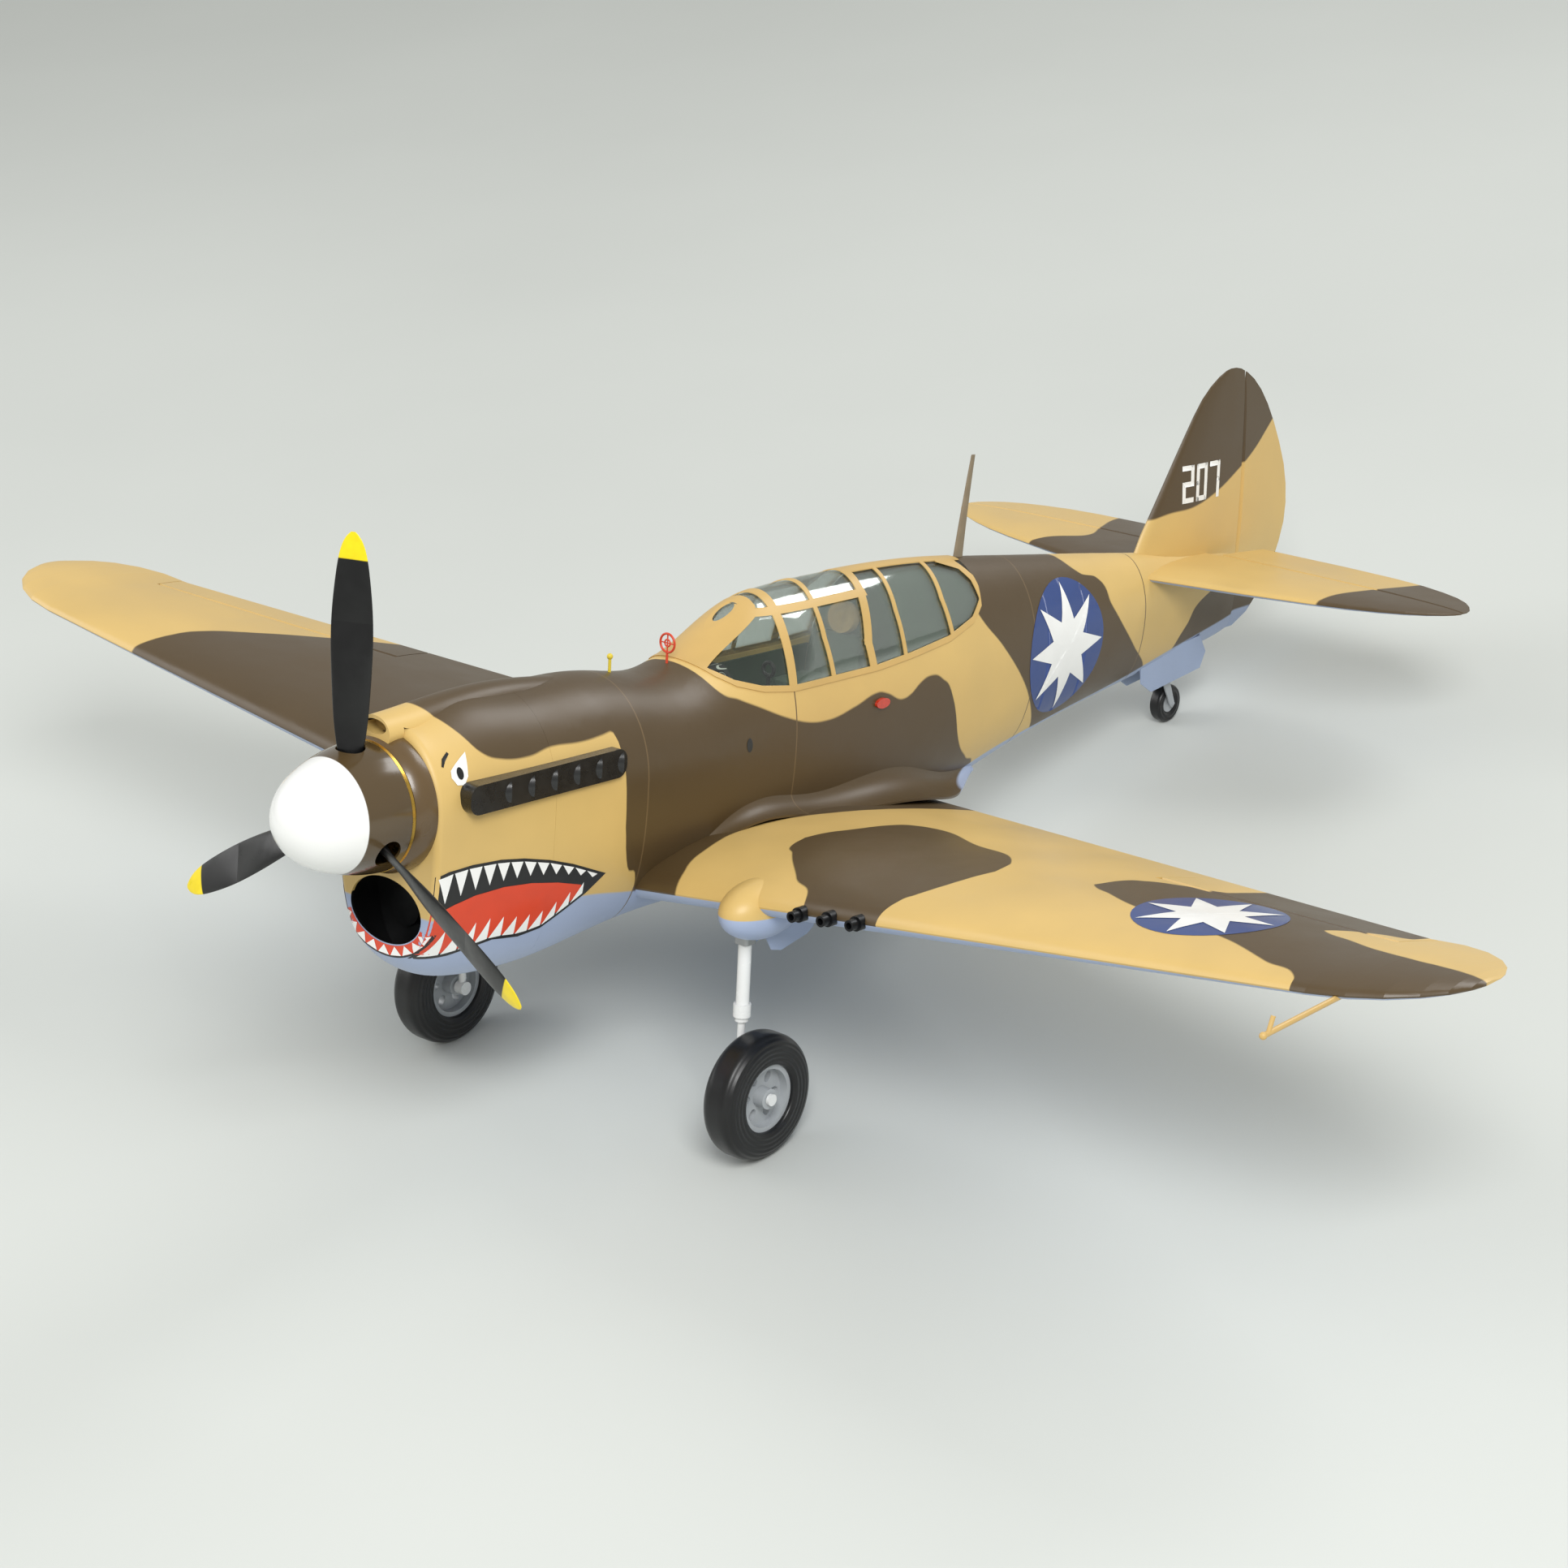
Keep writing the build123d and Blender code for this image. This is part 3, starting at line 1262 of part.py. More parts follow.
PITOT_X, PITOT_ROOT, PITOT_TIP = 728.0, (352.0, -20.0), (248.0, -26.0)
with BuildPart() as pitot_tube:
    along = Vector(0, PITOT_TIP[0] - PITOT_ROOT[0], PITOT_TIP[1] - PITOT_ROOT[1])
    with BuildSketch(Plane(origin=(PITOT_X, *PITOT_ROOT), z_dir=along)):
        Circle(2.2)
    extrude(amount=along.length)
    with BuildSketch(Plane(origin=(PITOT_X, PITOT_TIP[0] + 6, PITOT_TIP[1]), z_dir=(0, 0.4, 1))):
        Circle(1.8)
    extrude(amount=13)
    with Locations((PITOT_X, *PITOT_TIP)):
        Sphere(2.9)
    add(wing_solid.part, mode=Mode.SUBTRACT)
keep(pitot_tube, "pitot_tube")

# ---------------------------------------------------------------- move to the ground attitude and write
def stand():
    """The move from the flight frame to the ground frame."""
    tilt = Location((0, 0, 0), (-STANCE_DEG, 0, 0))
    low = Vector(1e9, 1e9, 1e9)
    high = Vector(-1e9, -1e9, -1e9)
    for builder in PIECES.values():
        box = builder.part.moved(tilt).bounding_box()
        low = Vector(min(low.X, box.min.X), min(low.Y, box.min.Y), min(low.Z, box.min.Z))
        high = Vector(max(high.X, box.max.X), max(high.Y, box.max.Y), max(high.Z, box.max.Z))
    shift = Location((-(low.X + high.X) / 2, -(low.Y + high.Y) / 2, -low.Z))
    return shift * tilt


STAND = stand()
for name, builder in PIECES.items():
    placed = builder.part.moved(STAND)
    placed.label = name
    export_step(placed, f"parts/{name}.step")
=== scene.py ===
"""Finishes, markings, lights and camera for a radio-controlled warbird standing on its three wheels."""
import math

import bmesh
import bpy
from mathutils import Matrix, Vector
from mathutils.bvhtree import BVHTree


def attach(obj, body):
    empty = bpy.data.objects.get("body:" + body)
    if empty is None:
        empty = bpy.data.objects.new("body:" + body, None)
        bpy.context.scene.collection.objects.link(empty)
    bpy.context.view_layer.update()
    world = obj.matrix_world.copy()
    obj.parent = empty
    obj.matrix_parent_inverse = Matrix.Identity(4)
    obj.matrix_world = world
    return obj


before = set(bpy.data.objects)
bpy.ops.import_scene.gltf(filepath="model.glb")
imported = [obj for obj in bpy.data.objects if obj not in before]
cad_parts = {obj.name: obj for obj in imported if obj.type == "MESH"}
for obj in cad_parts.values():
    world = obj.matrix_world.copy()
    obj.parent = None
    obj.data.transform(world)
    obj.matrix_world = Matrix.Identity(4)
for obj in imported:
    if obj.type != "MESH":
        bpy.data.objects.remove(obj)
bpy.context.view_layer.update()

MM = 0.001

# The aeroplane's own axes are X to the port wing, Y aft from the spinner's tip, and Z up from the thrust
# line. It stands nose up by this angle, and its centre is above the origin of the row frame.
STANCE = math.radians(12.9)
SHIFT = Vector((0.0, -0.671717, 0.385189))
TO_ROW = Matrix.Translation(SHIFT) @ Matrix.Rotation(-STANCE, 4, "X")


def row(x, y, z):
    """A point given in the aeroplane's axes in millimetres, as metres in the row frame."""
    return TO_ROW @ (Vector((x, y, z)) * MM)


# ---------------------------------------------------------------- colours
def linear(code):
    """An sRGB hex colour as linear RGBA."""
    parts = [int(code[i : i + 2], 16) / 255 for i in (0, 2, 4)]
    return (*[c / 12.92 if c <= 0.04045 else ((c + 0.055) / 1.055) ** 2.4 for c in parts], 1.0)


TAN, BROWN, SKY = linear("D2B16C"), linear("4F3E24"), linear("A0AECB")
WHITE, BLACK, YELLOW = linear("F2F2F0"), linear("0B0B0C"), linear("F2D80F")


# ---------------------------------------------------------------- node building
def add(tree, kind, inputs=None, **settings):
    """Adds one shader node, sets its inputs from values or other nodes, and its settings."""
    made = tree.nodes.new("ShaderNode" + kind)
    for name, value in settings.items():
        setattr(made, name, value)
    for name, value in (inputs or {}).items():
        if isinstance(value, bpy.types.Node):
            value = next(o for o in value.outputs if o.enabled)
        if isinstance(value, bpy.types.NodeSocket):
            tree.links.new(value, made.inputs[name])
        else:
            made.inputs[name].default_value = value
    return made


def begin(name):
    """A new material, its node tree, and a node that gives places in the aeroplane's own axes in mm."""
    material = bpy.data.materials.new(name)
    material.use_nodes = True
    tree = material.node_tree
    tree.nodes.clear()
    place = add(tree, "TexCoord").outputs["Object"]
    turned = {"Vector": place, "Location": SHIFT, "Rotation": (-STANCE, 0, 0), "Scale": (MM, MM, MM)}
    return material, tree, add(tree, "Mapping", turned, vector_type="TEXTURE")


def noise(tree, place, size, detail=3.0, stretch=(1, 1, 1)):
    """Noise whose features are about size millimetres across, drawn out along an axis by stretch."""
    scaled = add(tree, "Mapping", {"Vector": place, "Scale": [1 / (size * s) for s in stretch]})
    return add(tree, "TexNoise", {"Vector": scaled, "Scale": 1.0, "Detail": detail}).outputs["Fac"]


def mixed(tree, mask, under, over):
    """Colour over laid on colour under where mask is 1."""
    return add(tree, "Mix", {0: mask, 6: under, 7: over}, data_type="RGBA").outputs[2]


def end(material, tree, place, colour, rough, **look):
    """Finishes a material: mottled colour, uneven gloss and fine relief, at sizes in millimetres."""
    size, mottle = look.get("size", 40.0), look.get("mottle", 0.08)
    stretch = look.get("stretch", (1, 1, 1))
    broad = noise(tree, place, size, 4.0, stretch)
    usual = {"Value": broad, "From Min": 0.3, "From Max": 0.7}  # where most of the noise lies
    spread = add(tree, "MapRange", {**usual, "To Min": 1 - mottle, "To Max": 1 + mottle})
    toned = add(tree, "HueSaturation", {"Value": spread, "Color": colour})
    fine = noise(tree, place, look.get("grain", 0.8), 2.0, stretch)
    gloss = add(tree, "MapRange", {**usual, "To Min": rough * 0.85, "To Max": rough * 1.2})
    depth = look.get("depth", 0.2) * MM
    relief = add(tree, "Bump", {"Strength": look.get("bump", 0.08), "Distance": depth, "Height": fine})
    if "lines" in look:
        step = {"Strength": 0.5, "Distance": 0.5 * MM, "Height": look["lines"]}
        relief = add(tree, "Bump", {**step, "Normal": relief})
    skin = {"Base Color": toned, "Roughness": gloss, "Normal": relief, "Metallic": look.get("metal", 0.0)}
    skin["Coat Weight"] = look.get("coat", 0.0)
    skin["Coat Roughness"] = look.get("coat_rough", 0.15)
    skin["Transmission Weight"] = look.get("clear", 0.0)
    shader = add(tree, "BsdfPrincipled", skin)
    add(tree, "OutputMaterial", {"Surface": shader})
    return material


def plain(name, colour, rough, **look):
    """A material of one real substance, without markings."""
    material, tree, place = begin(name)
    return end(material, tree, place, linear(colour), rough, **look)


# ---------------------------------------------------------------- camouflage
# Each patch of brown is what lies between two boundary curves, given as (along, across) in millimetres.
SPAN = 4000.0
LIP_HALF_WIDTH, LIP_HALF_HEIGHT, LIP_Z = 41.0, 28.0, -90.0  # the edge of the chin intake, an ellipse
INTAKE_AXIS_Z = -40.0  # a height well inside the nose, to tell its inner faces from its outer ones


def edge_mask(tree, along, across, points, rising, soft):
    """1 on the far side of a boundary curve, rising to larger or to smaller values of across."""
    first, last = points[0][0], points[-1][0]
    share = add(tree, "MapRange", {"Value": along, "From Min": first, "From Max": last})
    line = add(tree, "FloatCurve", {"Value": share})
    curve = line.mapping.curves[0]
    stops = [((a - first) / (last - first), b / SPAN + 0.5) for a, b in points]
    curve.points[0].location = stops[0]
    curve.points[1].location = stops[-1]
    for stop in stops[1:-1]:
        curve.points.new(*stop)
    for point in curve.points:
        point.handle_type = "AUTO_CLAMPED"
    line.mapping.update()
    height = add(tree, "MapRange", {"Value": line, "To Min": -SPAN / 2, "To Max": SPAN / 2})
    gap = add(tree, "Math", {0: across, 1: height}, operation="SUBTRACT")
    ends = (-soft, soft) if rising else (soft, -soft)
    return add(tree, "MapRange", {"Value": gap, "From Min": ends[0], "From Max": ends[1]}).outputs[0]


def between(tree, along, across, low, high, soft=1.0):
    """1 between the low and the high boundary curve; either may be left out."""
    masks = [edge_mask(tree, along, across, c, up, soft) for c, up in ((low, True), (high, False)) if c]
    if len(masks) == 1:
        return masks[0]
    return add(tree, "Math", {0: masks[0], 1: masks[1]}, operation="MULTIPLY").outputs[0]


def hairlines(tree, coordinate, places, width=0.7):
    """1 away from thin lines at these places along a coordinate, 0 on them."""
    found = None
    for place in places:
        away = add(tree, "Math", {0: coordinate, 1: place, 2: width}, operation="COMPARE").outputs[0]
        both = {0: away if found is None else found, 1: away}
        found = add(tree, "Math", both, operation="MAXIMUM").outputs[0]
    return add(tree, "Math", {0: 1.0, 1: found}, operation="SUBTRACT").outputs[0]


NOSE_LOW = (
    (100, 95), (136, 72), (150, 55), (160, 42), (183, 32), (208, 30), (235, 33), (270, 31), (293, 32),
    (303, 33), (309, 20), (312, -16), (314, -50), (322, -84), (335, -95), (345, -150), (360, -200),
    (820, -200),
)
NOSE_HIGH = (
    (100, 200), (420, 200), (427, 66), (432, 59), (441, 42), (460, 32), (478, 24), (515, 8), (545, -1),
    (570, -3), (604, 2), (638, 9), (650, 6), (672, -3), (685, 0), (697, 7), (712, 11), (722, 10),
    (732, 4), (740, -2), (750, -20), (765, -57), (790, -82), (812, -97), (820, -260),
)
BAND_FRONT = ((-100, 925), (-60, 893), (-25, 866), (18, 826), (50, 796), (59, 793), (100, 790))
BAND_REAR = ((-100, 1120), (-59, 1106), (-23, 1062), (23, 1017), (53, 998), (58, 978), (100, 950))
TAIL_FRONT = ((-80, 1140), (-51, 1149), (-23, 1167), (4, 1205), (14, 1262), (30, 1420), (60, 1500))
FIN_LOW = (
    (1090, 82), (1118, 86), (1144, 90), (1182, 92), (1223, 103), (1252, 116), (1289, 136), (1311, 153),
    (1365, 200),
)
SKY_LINE = (
    (100, -86), (200, -96), (250, -98), (278, -100), (333, -110), (345, -112), (700, -112), (850, -86),
    (950, -76), (1060, -62), (1135, -48), (1200, -38), (1280, -28),
)


FILM = {"size": 90, "mottle": 0.05, "grain": 1.1, "bump": 0.10, "coat": 0.15, "coat_rough": 0.3}


def intake_shade_mask(tree, place, y):
    """1 on the inside of the nose cowl, seen through the chin intake, where black is laid on as painted
    shade in the recess.
    """
    flat = add(tree, "VectorMath", {0: place, 1: (1, 0, 1)}, operation="MULTIPLY")
    centred = add(tree, "VectorMath", {0: flat, 1: (0, 0, -INTAKE_AXIS_Z)}, operation="ADD")
    outward = add(tree, "VectorMath", {0: centred}, operation="NORMALIZE")
    normal = add(tree, "TexCoord").outputs["Normal"]
    facing = add(tree, "VectorMath", {0: outward, 1: normal}, operation="DOT_PRODUCT").outputs["Value"]
    inside = add(tree, "Math", {0: facing, 1: -0.4}, operation="LESS_THAN")
    ahead = add(tree, "Math", {0: y, 1: 330.0}, operation="LESS_THAN")
    return add(tree, "Math", {0: inside, 1: ahead}, operation="MULTIPLY").outputs[0]


def body_paint():
    """Iron-on polyester film over sheeted balsa, satin, in two sand colours with a pale blue belly."""
    material, tree, place = begin("satin_film_body")
    x, y, z = add(tree, "SeparateXYZ", {0: place}).outputs
    colour = mixed(tree, between(tree, y, z, NOSE_LOW, NOSE_HIGH), TAN, BROWN)
    colour = mixed(tree, between(tree, z, y, BAND_FRONT, BAND_REAR), colour, BROWN)
    colour = mixed(tree, between(tree, z, y, TAIL_FRONT, None), colour, BROWN)
    colour = mixed(tree, between(tree, y, z, FIN_LOW, None), colour, BROWN)
    colour = mixed(tree, between(tree, y, z, None, SKY_LINE), colour, SKY)
    seams = hairlines(tree, y, (338.0, 525.0, 880.0, 1078.0))
    colour = mixed(tree, seams, linear("6B5638"), colour)
    # Painted shade: the inner faces of the nose cowl inside the chin intake are coloured black to stand for
    # the dark of the recess.
    colour = mixed(tree, intake_shade_mask(tree, place, y), colour, BLACK)
    return end(material, tree, place, colour, 0.42, lines=seams, **FILM)


ISLAND_FRONT = (
    (136, 460), (141, 448), (143, 437), (160, 413), (200, 372), (238, 332), (245, 250), (305, 250),
    (311, 344), (314, 362), (321, 376), (333, 411), (338, 440), (344, 470),
)
ISLAND_REAR = (
    (136, 440), (140, 455), (142, 469), (152, 499), (163, 541), (180, 556), (193, 557), (261, 525),
    (332, 481), (340, 450), (344, 430),
)
TIP_FRONT = (
    (420, 475), (428, 462), (455, 445), (485, 428), (545, 406), (600, 388), (654, 360), (690, 343),
    (705, 250), (820, 250),
)
TIP_REAR = (
    (420, 455), (427, 466), (432, 492), (445, 508), (470, 518), (510, 526), (540, 700), (820, 700),
)
TONGUE_FRONT = ((640, 458), (648, 450), (676, 438), (701, 427), (756, 413), (820, 412))
TONGUE_REAR = ((640, 448), (650, 462), (676, 479), (701, 486), (712, 700), (820, 700))
ROOT_OUT = ((338, 99), (356, 93), (370, 87), (398, 82), (435, 77), (488, 81), (560, 96), (760, 130))
FAR_IN = ((330, -585), (369, -574), (396, -566), (455, -531), (520, -501), (640, -470))


def wing_paint():
    """The same film on the wing panels and ailerons, pale blue below the chord plane."""
    material, tree, place = begin("satin_film_wing")
    x, y, z = add(tree, "SeparateXYZ", {0: place}).outputs
    colour = mixed(tree, between(tree, x, y, ISLAND_FRONT, ISLAND_REAR), TAN, BROWN)
    colour = mixed(tree, between(tree, x, y, TIP_FRONT, TIP_REAR), colour, BROWN)
    colour = mixed(tree, between(tree, x, y, TONGUE_FRONT, TONGUE_REAR), colour, TAN)
    colour = mixed(tree, between(tree, y, x, FAR_IN, ROOT_OUT), colour, BROWN)
    out = add(tree, "Math", {0: x}, operation="ABSOLUTE")
    chord = add(tree, "Math", {0: out, 1: 0.135, 2: -117.5}, operation="MULTIPLY_ADD")
    below = add(tree, "Math", {0: z, 1: chord}, operation="LESS_THAN")
    colour = mixed(tree, below, colour, SKY)
    return end(material, tree, place, colour, 0.42, **FILM)


STAB_TIP = ((1080, 188), (1140, 188), (1158, 189), (1213, 200), (1273, 209), (1300, 212))
STAB_IN = ((1080, -150), (1137, -139), (1177, -113), (1222, -130), (1272, -151), (1300, -158))


def tail_paint():
    """The same film on the stabiliser and elevator."""
    material, tree, place = begin("satin_film_tailplane")
    x, y, z = add(tree, "SeparateXYZ", {0: place}).outputs
    colour = mixed(tree, between(tree, y, x, STAB_TIP, None), TAN, BROWN)
    inner = between(tree, y, x, STAB_IN, ((1080, 0), (1300, 0)))
    colour = mixed(tree, inner, colour, BROWN)
    below = add(tree, "Math", {0: z, 1: 35.2}, operation="LESS_THAN")
    colour = mixed(tree, below, colour, SKY)
    return end(material, tree, place, colour, 0.42, **FILM)


def split(name, hue_a, hue_b, axis, at, rough, **look):
    """One part painted in two colours, parted at a height or station."""
    material, tree, place = begin(name)
    along = add(tree, "SeparateXYZ", {0: place}).outputs[axis]
    mask = add(tree, "MapRange", {"Value": along, "From Min": at - 0.4, "From Max": at + 0.4})
    return end(material, tree, place, mixed(tree, mask, hue_a, hue_b), rough, **look)


def propeller_finish():
    """Glass-filled nylon, moulded black, with painted yellow tips."""
    material, tree, place = begin("moulded_black_nylon")
    flat = add(tree, "VectorMath", {0: place, 1: (1, 0, 1)}, operation="MULTIPLY")
    reach = add(tree, "VectorMath", {0: flat}, operation="LENGTH").outputs["Value"]
    mask = add(tree, "MapRange", {"Value": reach, "From Min": 198.5, "From Max": 199.5})
    return end(material, tree, place, mixed(tree, mask, BLACK, YELLOW), 0.32, size=12, grain=0.5, bump=0.05)


def glazing():
    """Clear sheet, vacuum-formed and polished, thin enough to see straight through."""
    material, tree, place = begin("clear_vacuum_formed_sheet")
    faint = add(tree, "Bump", {"Strength": 0.02, "Distance": MM, "Height": noise(tree, place, 30.0)})
    edge = add(tree, "LayerWeight", {"Blend": 0.25, "Normal": faint}).outputs["Fresnel"]
    share = add(tree, "MapRange", {"Value": edge, "To Min": 0.03, "To Max": 0.55})
    through = add(tree, "BsdfTransparent", {"Color": (0.90, 0.93, 0.91, 1)})
    gloss = add(tree, "BsdfGlossy", {"Color": (1, 1, 1, 1), "Roughness": 0.04, "Normal": faint})
    both = add(tree, "MixShader", {0: share, 1: through, 2: gloss})
    add(tree, "OutputMaterial", {"Surface": both})
    return material


def rubber(name, centre):
    """Moulded rubber with fine rings round the tread, about the wheel's centre."""
    material, tree, place = begin(name)
    from_hub = add(tree, "VectorMath", {0: place, 1: centre}, operation="SUBTRACT")
    flat = add(tree, "VectorMath", {0: from_hub, 1: (0, 1, 1)}, operation="MULTIPLY")
    reach = add(tree, "VectorMath", {0: flat}, operation="LENGTH").outputs["Value"]
    rings = add(tree, "Math", {0: reach, 1: 2 * math.pi / 4.0}, operation="MULTIPLY")
    wave = add(tree, "Math", {0: rings}, operation="SINE").outputs[0]
    return end(material, tree, place, linear("121213"), 0.34, size=18, grain=0.6, bump=0.12, lines=wave)


def panel_finish():
    """Cockpit panel: matt black plywood with round white-ringed dials."""
    material, tree, place = begin("matt_black_instrument_board")
    x, y, z = add(tree, "SeparateXYZ", {0: place}).outputs
    cell = add(tree, "CombineXYZ", {0: x, 1: z, 2: 0.0})
    grid = add(tree, "VectorMath", {0: cell, 1: (13, 13, 13)}, operation="MODULO")
    middle = add(tree, "VectorMath", {0: grid, 1: (6.5, 6.5, 0)}, operation="SUBTRACT")
    away = add(tree, "VectorMath", {0: middle}, operation="LENGTH").outputs["Value"]
    ring = add(tree, "Math", {0: away, 1: 5.0, 2: 0.4}, operation="COMPARE")
    colour = mixed(tree, ring, linear("101110"), linear("C9C9C0"))
    return end(material, tree, place, colour, 0.55, size=10, grain=0.4, bump=0.1)


# ---------------------------------------------------------------- finishes for the CAD nodes
body_film, wing_film, tail_film = body_paint(), wing_paint(), tail_paint()
white_enamel = plain(
    "sprayed_white_enamel", "E6E7E6", 0.25,
    size=25, mottle=0.03, grain=0.6, bump=0.05, coat=0.4,
)
grey_enamel = plain(
    "sprayed_grey_enamel", "A7ABAE", 0.32,
    size=20, mottle=0.06, grain=0.6, bump=0.08, coat=0.2,
)
brown_enamel = plain(
    "sprayed_brown_enamel", "5C4729", 0.30,
    size=60, mottle=0.06, grain=0.8, bump=0.06, coat=0.4,
)
sky_enamel = plain("sprayed_pale_blue_enamel", "9DABC6", 0.38, size=60, mottle=0.05, grain=0.8, bump=0.06)
tan_enamel = plain("sprayed_sand_enamel", "CBA866", 0.38, size=60, mottle=0.05, grain=0.8, bump=0.06)
green_paint = plain(
    "brushed_green_interior_paint", "3C5140", 0.60,
    size=14, mottle=0.12, grain=0.7, bump=0.15,
)
tan_leather = plain(
    "padded_tan_leathercloth", "C19C62", 0.55,
    size=6, mottle=0.14, grain=1.2, bump=0.35, depth=0.4,
)
black_satin = plain(
    "satin_black_stove_paint", "141414", 0.28,
    size=9, mottle=0.2, grain=0.7, bump=0.15, coat=0.3,
)
black_plastic = plain("moulded_black_plastic", "18191A", 0.45, size=10, mottle=0.1, grain=0.5, bump=0.12)
cast_alloy = plain(
    "sand_cast_aluminium", "A9ABAC", 0.42,
    metal=1.0, size=8, mottle=0.1, grain=0.5, bump=0.3,
)
turned_steel = plain(
    "turned_steel", "C2C3C4", 0.22,
    metal=1.0, size=5, grain=0.2, bump=0.1, stretch=(1, 8, 1),
)
gold_alloy = plain("gold_anodised_aluminium", "C9A24A", 0.28, metal=1.0, size=6, grain=0.3, bump=0.06)
gunmetal = plain("blackened_steel_tube", "1D1E20", 0.35, metal=0.6, size=5, grain=0.4, bump=0.12)
birch_ply = plain(
    "sawn_birch_plywood", "D8BE8C", 0.62,
    size=9, mottle=0.12, grain=0.6, bump=0.25, stretch=(1, 8, 1),
)
balsa_wood = plain(
    "sliced_balsa", "E3CFA2", 0.70,
    size=7, mottle=0.10, grain=0.5, bump=0.25, stretch=(10, 1, 1),
)
tank_plastic = plain(
    "blow_moulded_polythene", "E9E6DA", 0.35,
    size=20, mottle=0.04, grain=1.5, bump=0.1, clear=0.3,
)
cell_wrap = plain("heat_shrunk_battery_wrap", "2F4F8C", 0.30, size=14, grain=1.5, bump=0.15)
red_lens = plain("moulded_red_lens", "C2331B", 0.18, size=4, mottle=0.12, grain=0.8, bump=0.05, coat=0.6)
mast_paint = plain("sprayed_grey_brown_enamel", "83755F", 0.42, size=12, mottle=0.08, grain=0.6, bump=0.1)
spinner_paint = split(
    "polished_two_colour_enamel", WHITE, BROWN, 1, 48.0, 0.16,
    size=70, mottle=0.02, grain=1.0, bump=0.02, coat=0.6,
)
fairing_paint = split(
    "sprayed_two_colour_fairing", SKY, TAN, 2, -101.0, 0.38,
    size=60, mottle=0.05, grain=0.8, bump=0.06,
)
sight_paint = split(
    "sprayed_sight_enamel", linear("D9C23C"), linear("D2462A"), 1, 395.0, 0.35,
    size=6, grain=0.5, bump=0.08,
)

FINISH = {
    body_film: "fuselage_shell belly_pan nose_cowl root_fillets fin rudder carb_scoop",
    wing_film: "wing_left wing_right aileron_left aileron_right",
    tail_film: "stabilizer elevator",
    tan_enamel: "canopy_frames pitot_tube",
    brown_enamel: "nose_ring",
    sky_enamel: "gear_doors tail_doors",
    fairing_paint: "gear_fairings",
    spinner_paint: "spinner",
    gold_alloy: "spinner_backplate",
    propeller_finish(): "propeller",
    glazing(): "canopy_glass",
    green_paint: "cockpit_tub rear_deck pilot_seat",
    panel_finish(): "instrument_panel",
    tan_leather: "seat_headrest",
    black_plastic: "control_stick servos receiver aileron_servos wheel_wells radiator_insert",
    black_satin: "exhausts",
    gunmetal: "wing_guns",
    cast_alloy: "engine muffler engine_mount retract_units trunnion_left trunnion_right",
    turned_steel: "crankshaft",
    white_enamel: "leg_left leg_right",
    grey_enamel: "hub_left hub_right tail_fork tail_hub",
    birch_ply: "fuselage_formers",
    balsa_wood: "wing_spars wing_ribs",
    tank_plastic: "fuel_tank",
    cell_wrap: "battery_pack",
    red_lens: "side_lights",
    mast_paint: "antenna_mast",
    sight_paint: "gun_sights",
    rubber("moulded_rubber_port_tyre", (182, 357, -258)): "tyre_left",
    rubber("moulded_rubber_starboard_tyre", (-182, 357, -258)): "tyre_right",
    rubber("moulded_rubber_tail_tyre", (0, 1172, -107)): "tail_tyre",
}
for finish, names in FINISH.items():
    for name in names.split():
        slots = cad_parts[name].material_slots
        for place in slots:
            place.material = finish

# ---------------------------------------------------------------- markings laid on the skin
# view: the direction it is seen from, and which of the aeroplane's axes the outline's two numbers run along
VIEWS = {
    "port": ((1, 0, 0), 1, 2),
    "starboard": ((-1, 0, 0), 1, 2),
    "top": ((0, 0, 1), 0, 1),
    "front": ((0, -1, 0), 0, 2),
}
CELL = 4.0  # millimetres; small enough for a flat cell to follow the skin
STAR_WAIST = 0.46  # where a star's arms meet, as a share of its radius
disc_blue = plain(
    "printed_blue_film", "24407E", 0.35,
    size=30, mottle=0.05, grain=0.9, bump=0.05, coat=0.3,
)
mark_white = plain(
    "printed_white_film", "F0F0EE", 0.35,
    size=30, mottle=0.03, grain=0.9, bump=0.05, coat=0.3,
)
mark_black = plain(
    "printed_black_film", "0E0E0F", 0.35,
    size=30, mottle=0.05, grain=0.9, bump=0.05, coat=0.3,
)
mark_red = plain("printed_red_film", "D6401C", 0.35, size=30, mottle=0.05, grain=0.9, bump=0.05, coat=0.3)
skins = {}


def skin(nodes):
    """The search tree of some CAD nodes' surfaces."""
    if nodes not in skins:
        points, faces = [], []
        for node in nodes.split():
            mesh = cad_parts[node].data
            base = len(points)
            points.extend(v.co.copy() for v in mesh.vertices)
            faces.extend([base + i for i in p.vertices] for p in mesh.polygons)
        skins[nodes] = BVHTree.FromPolygons(points, faces)
    return skins[nodes]


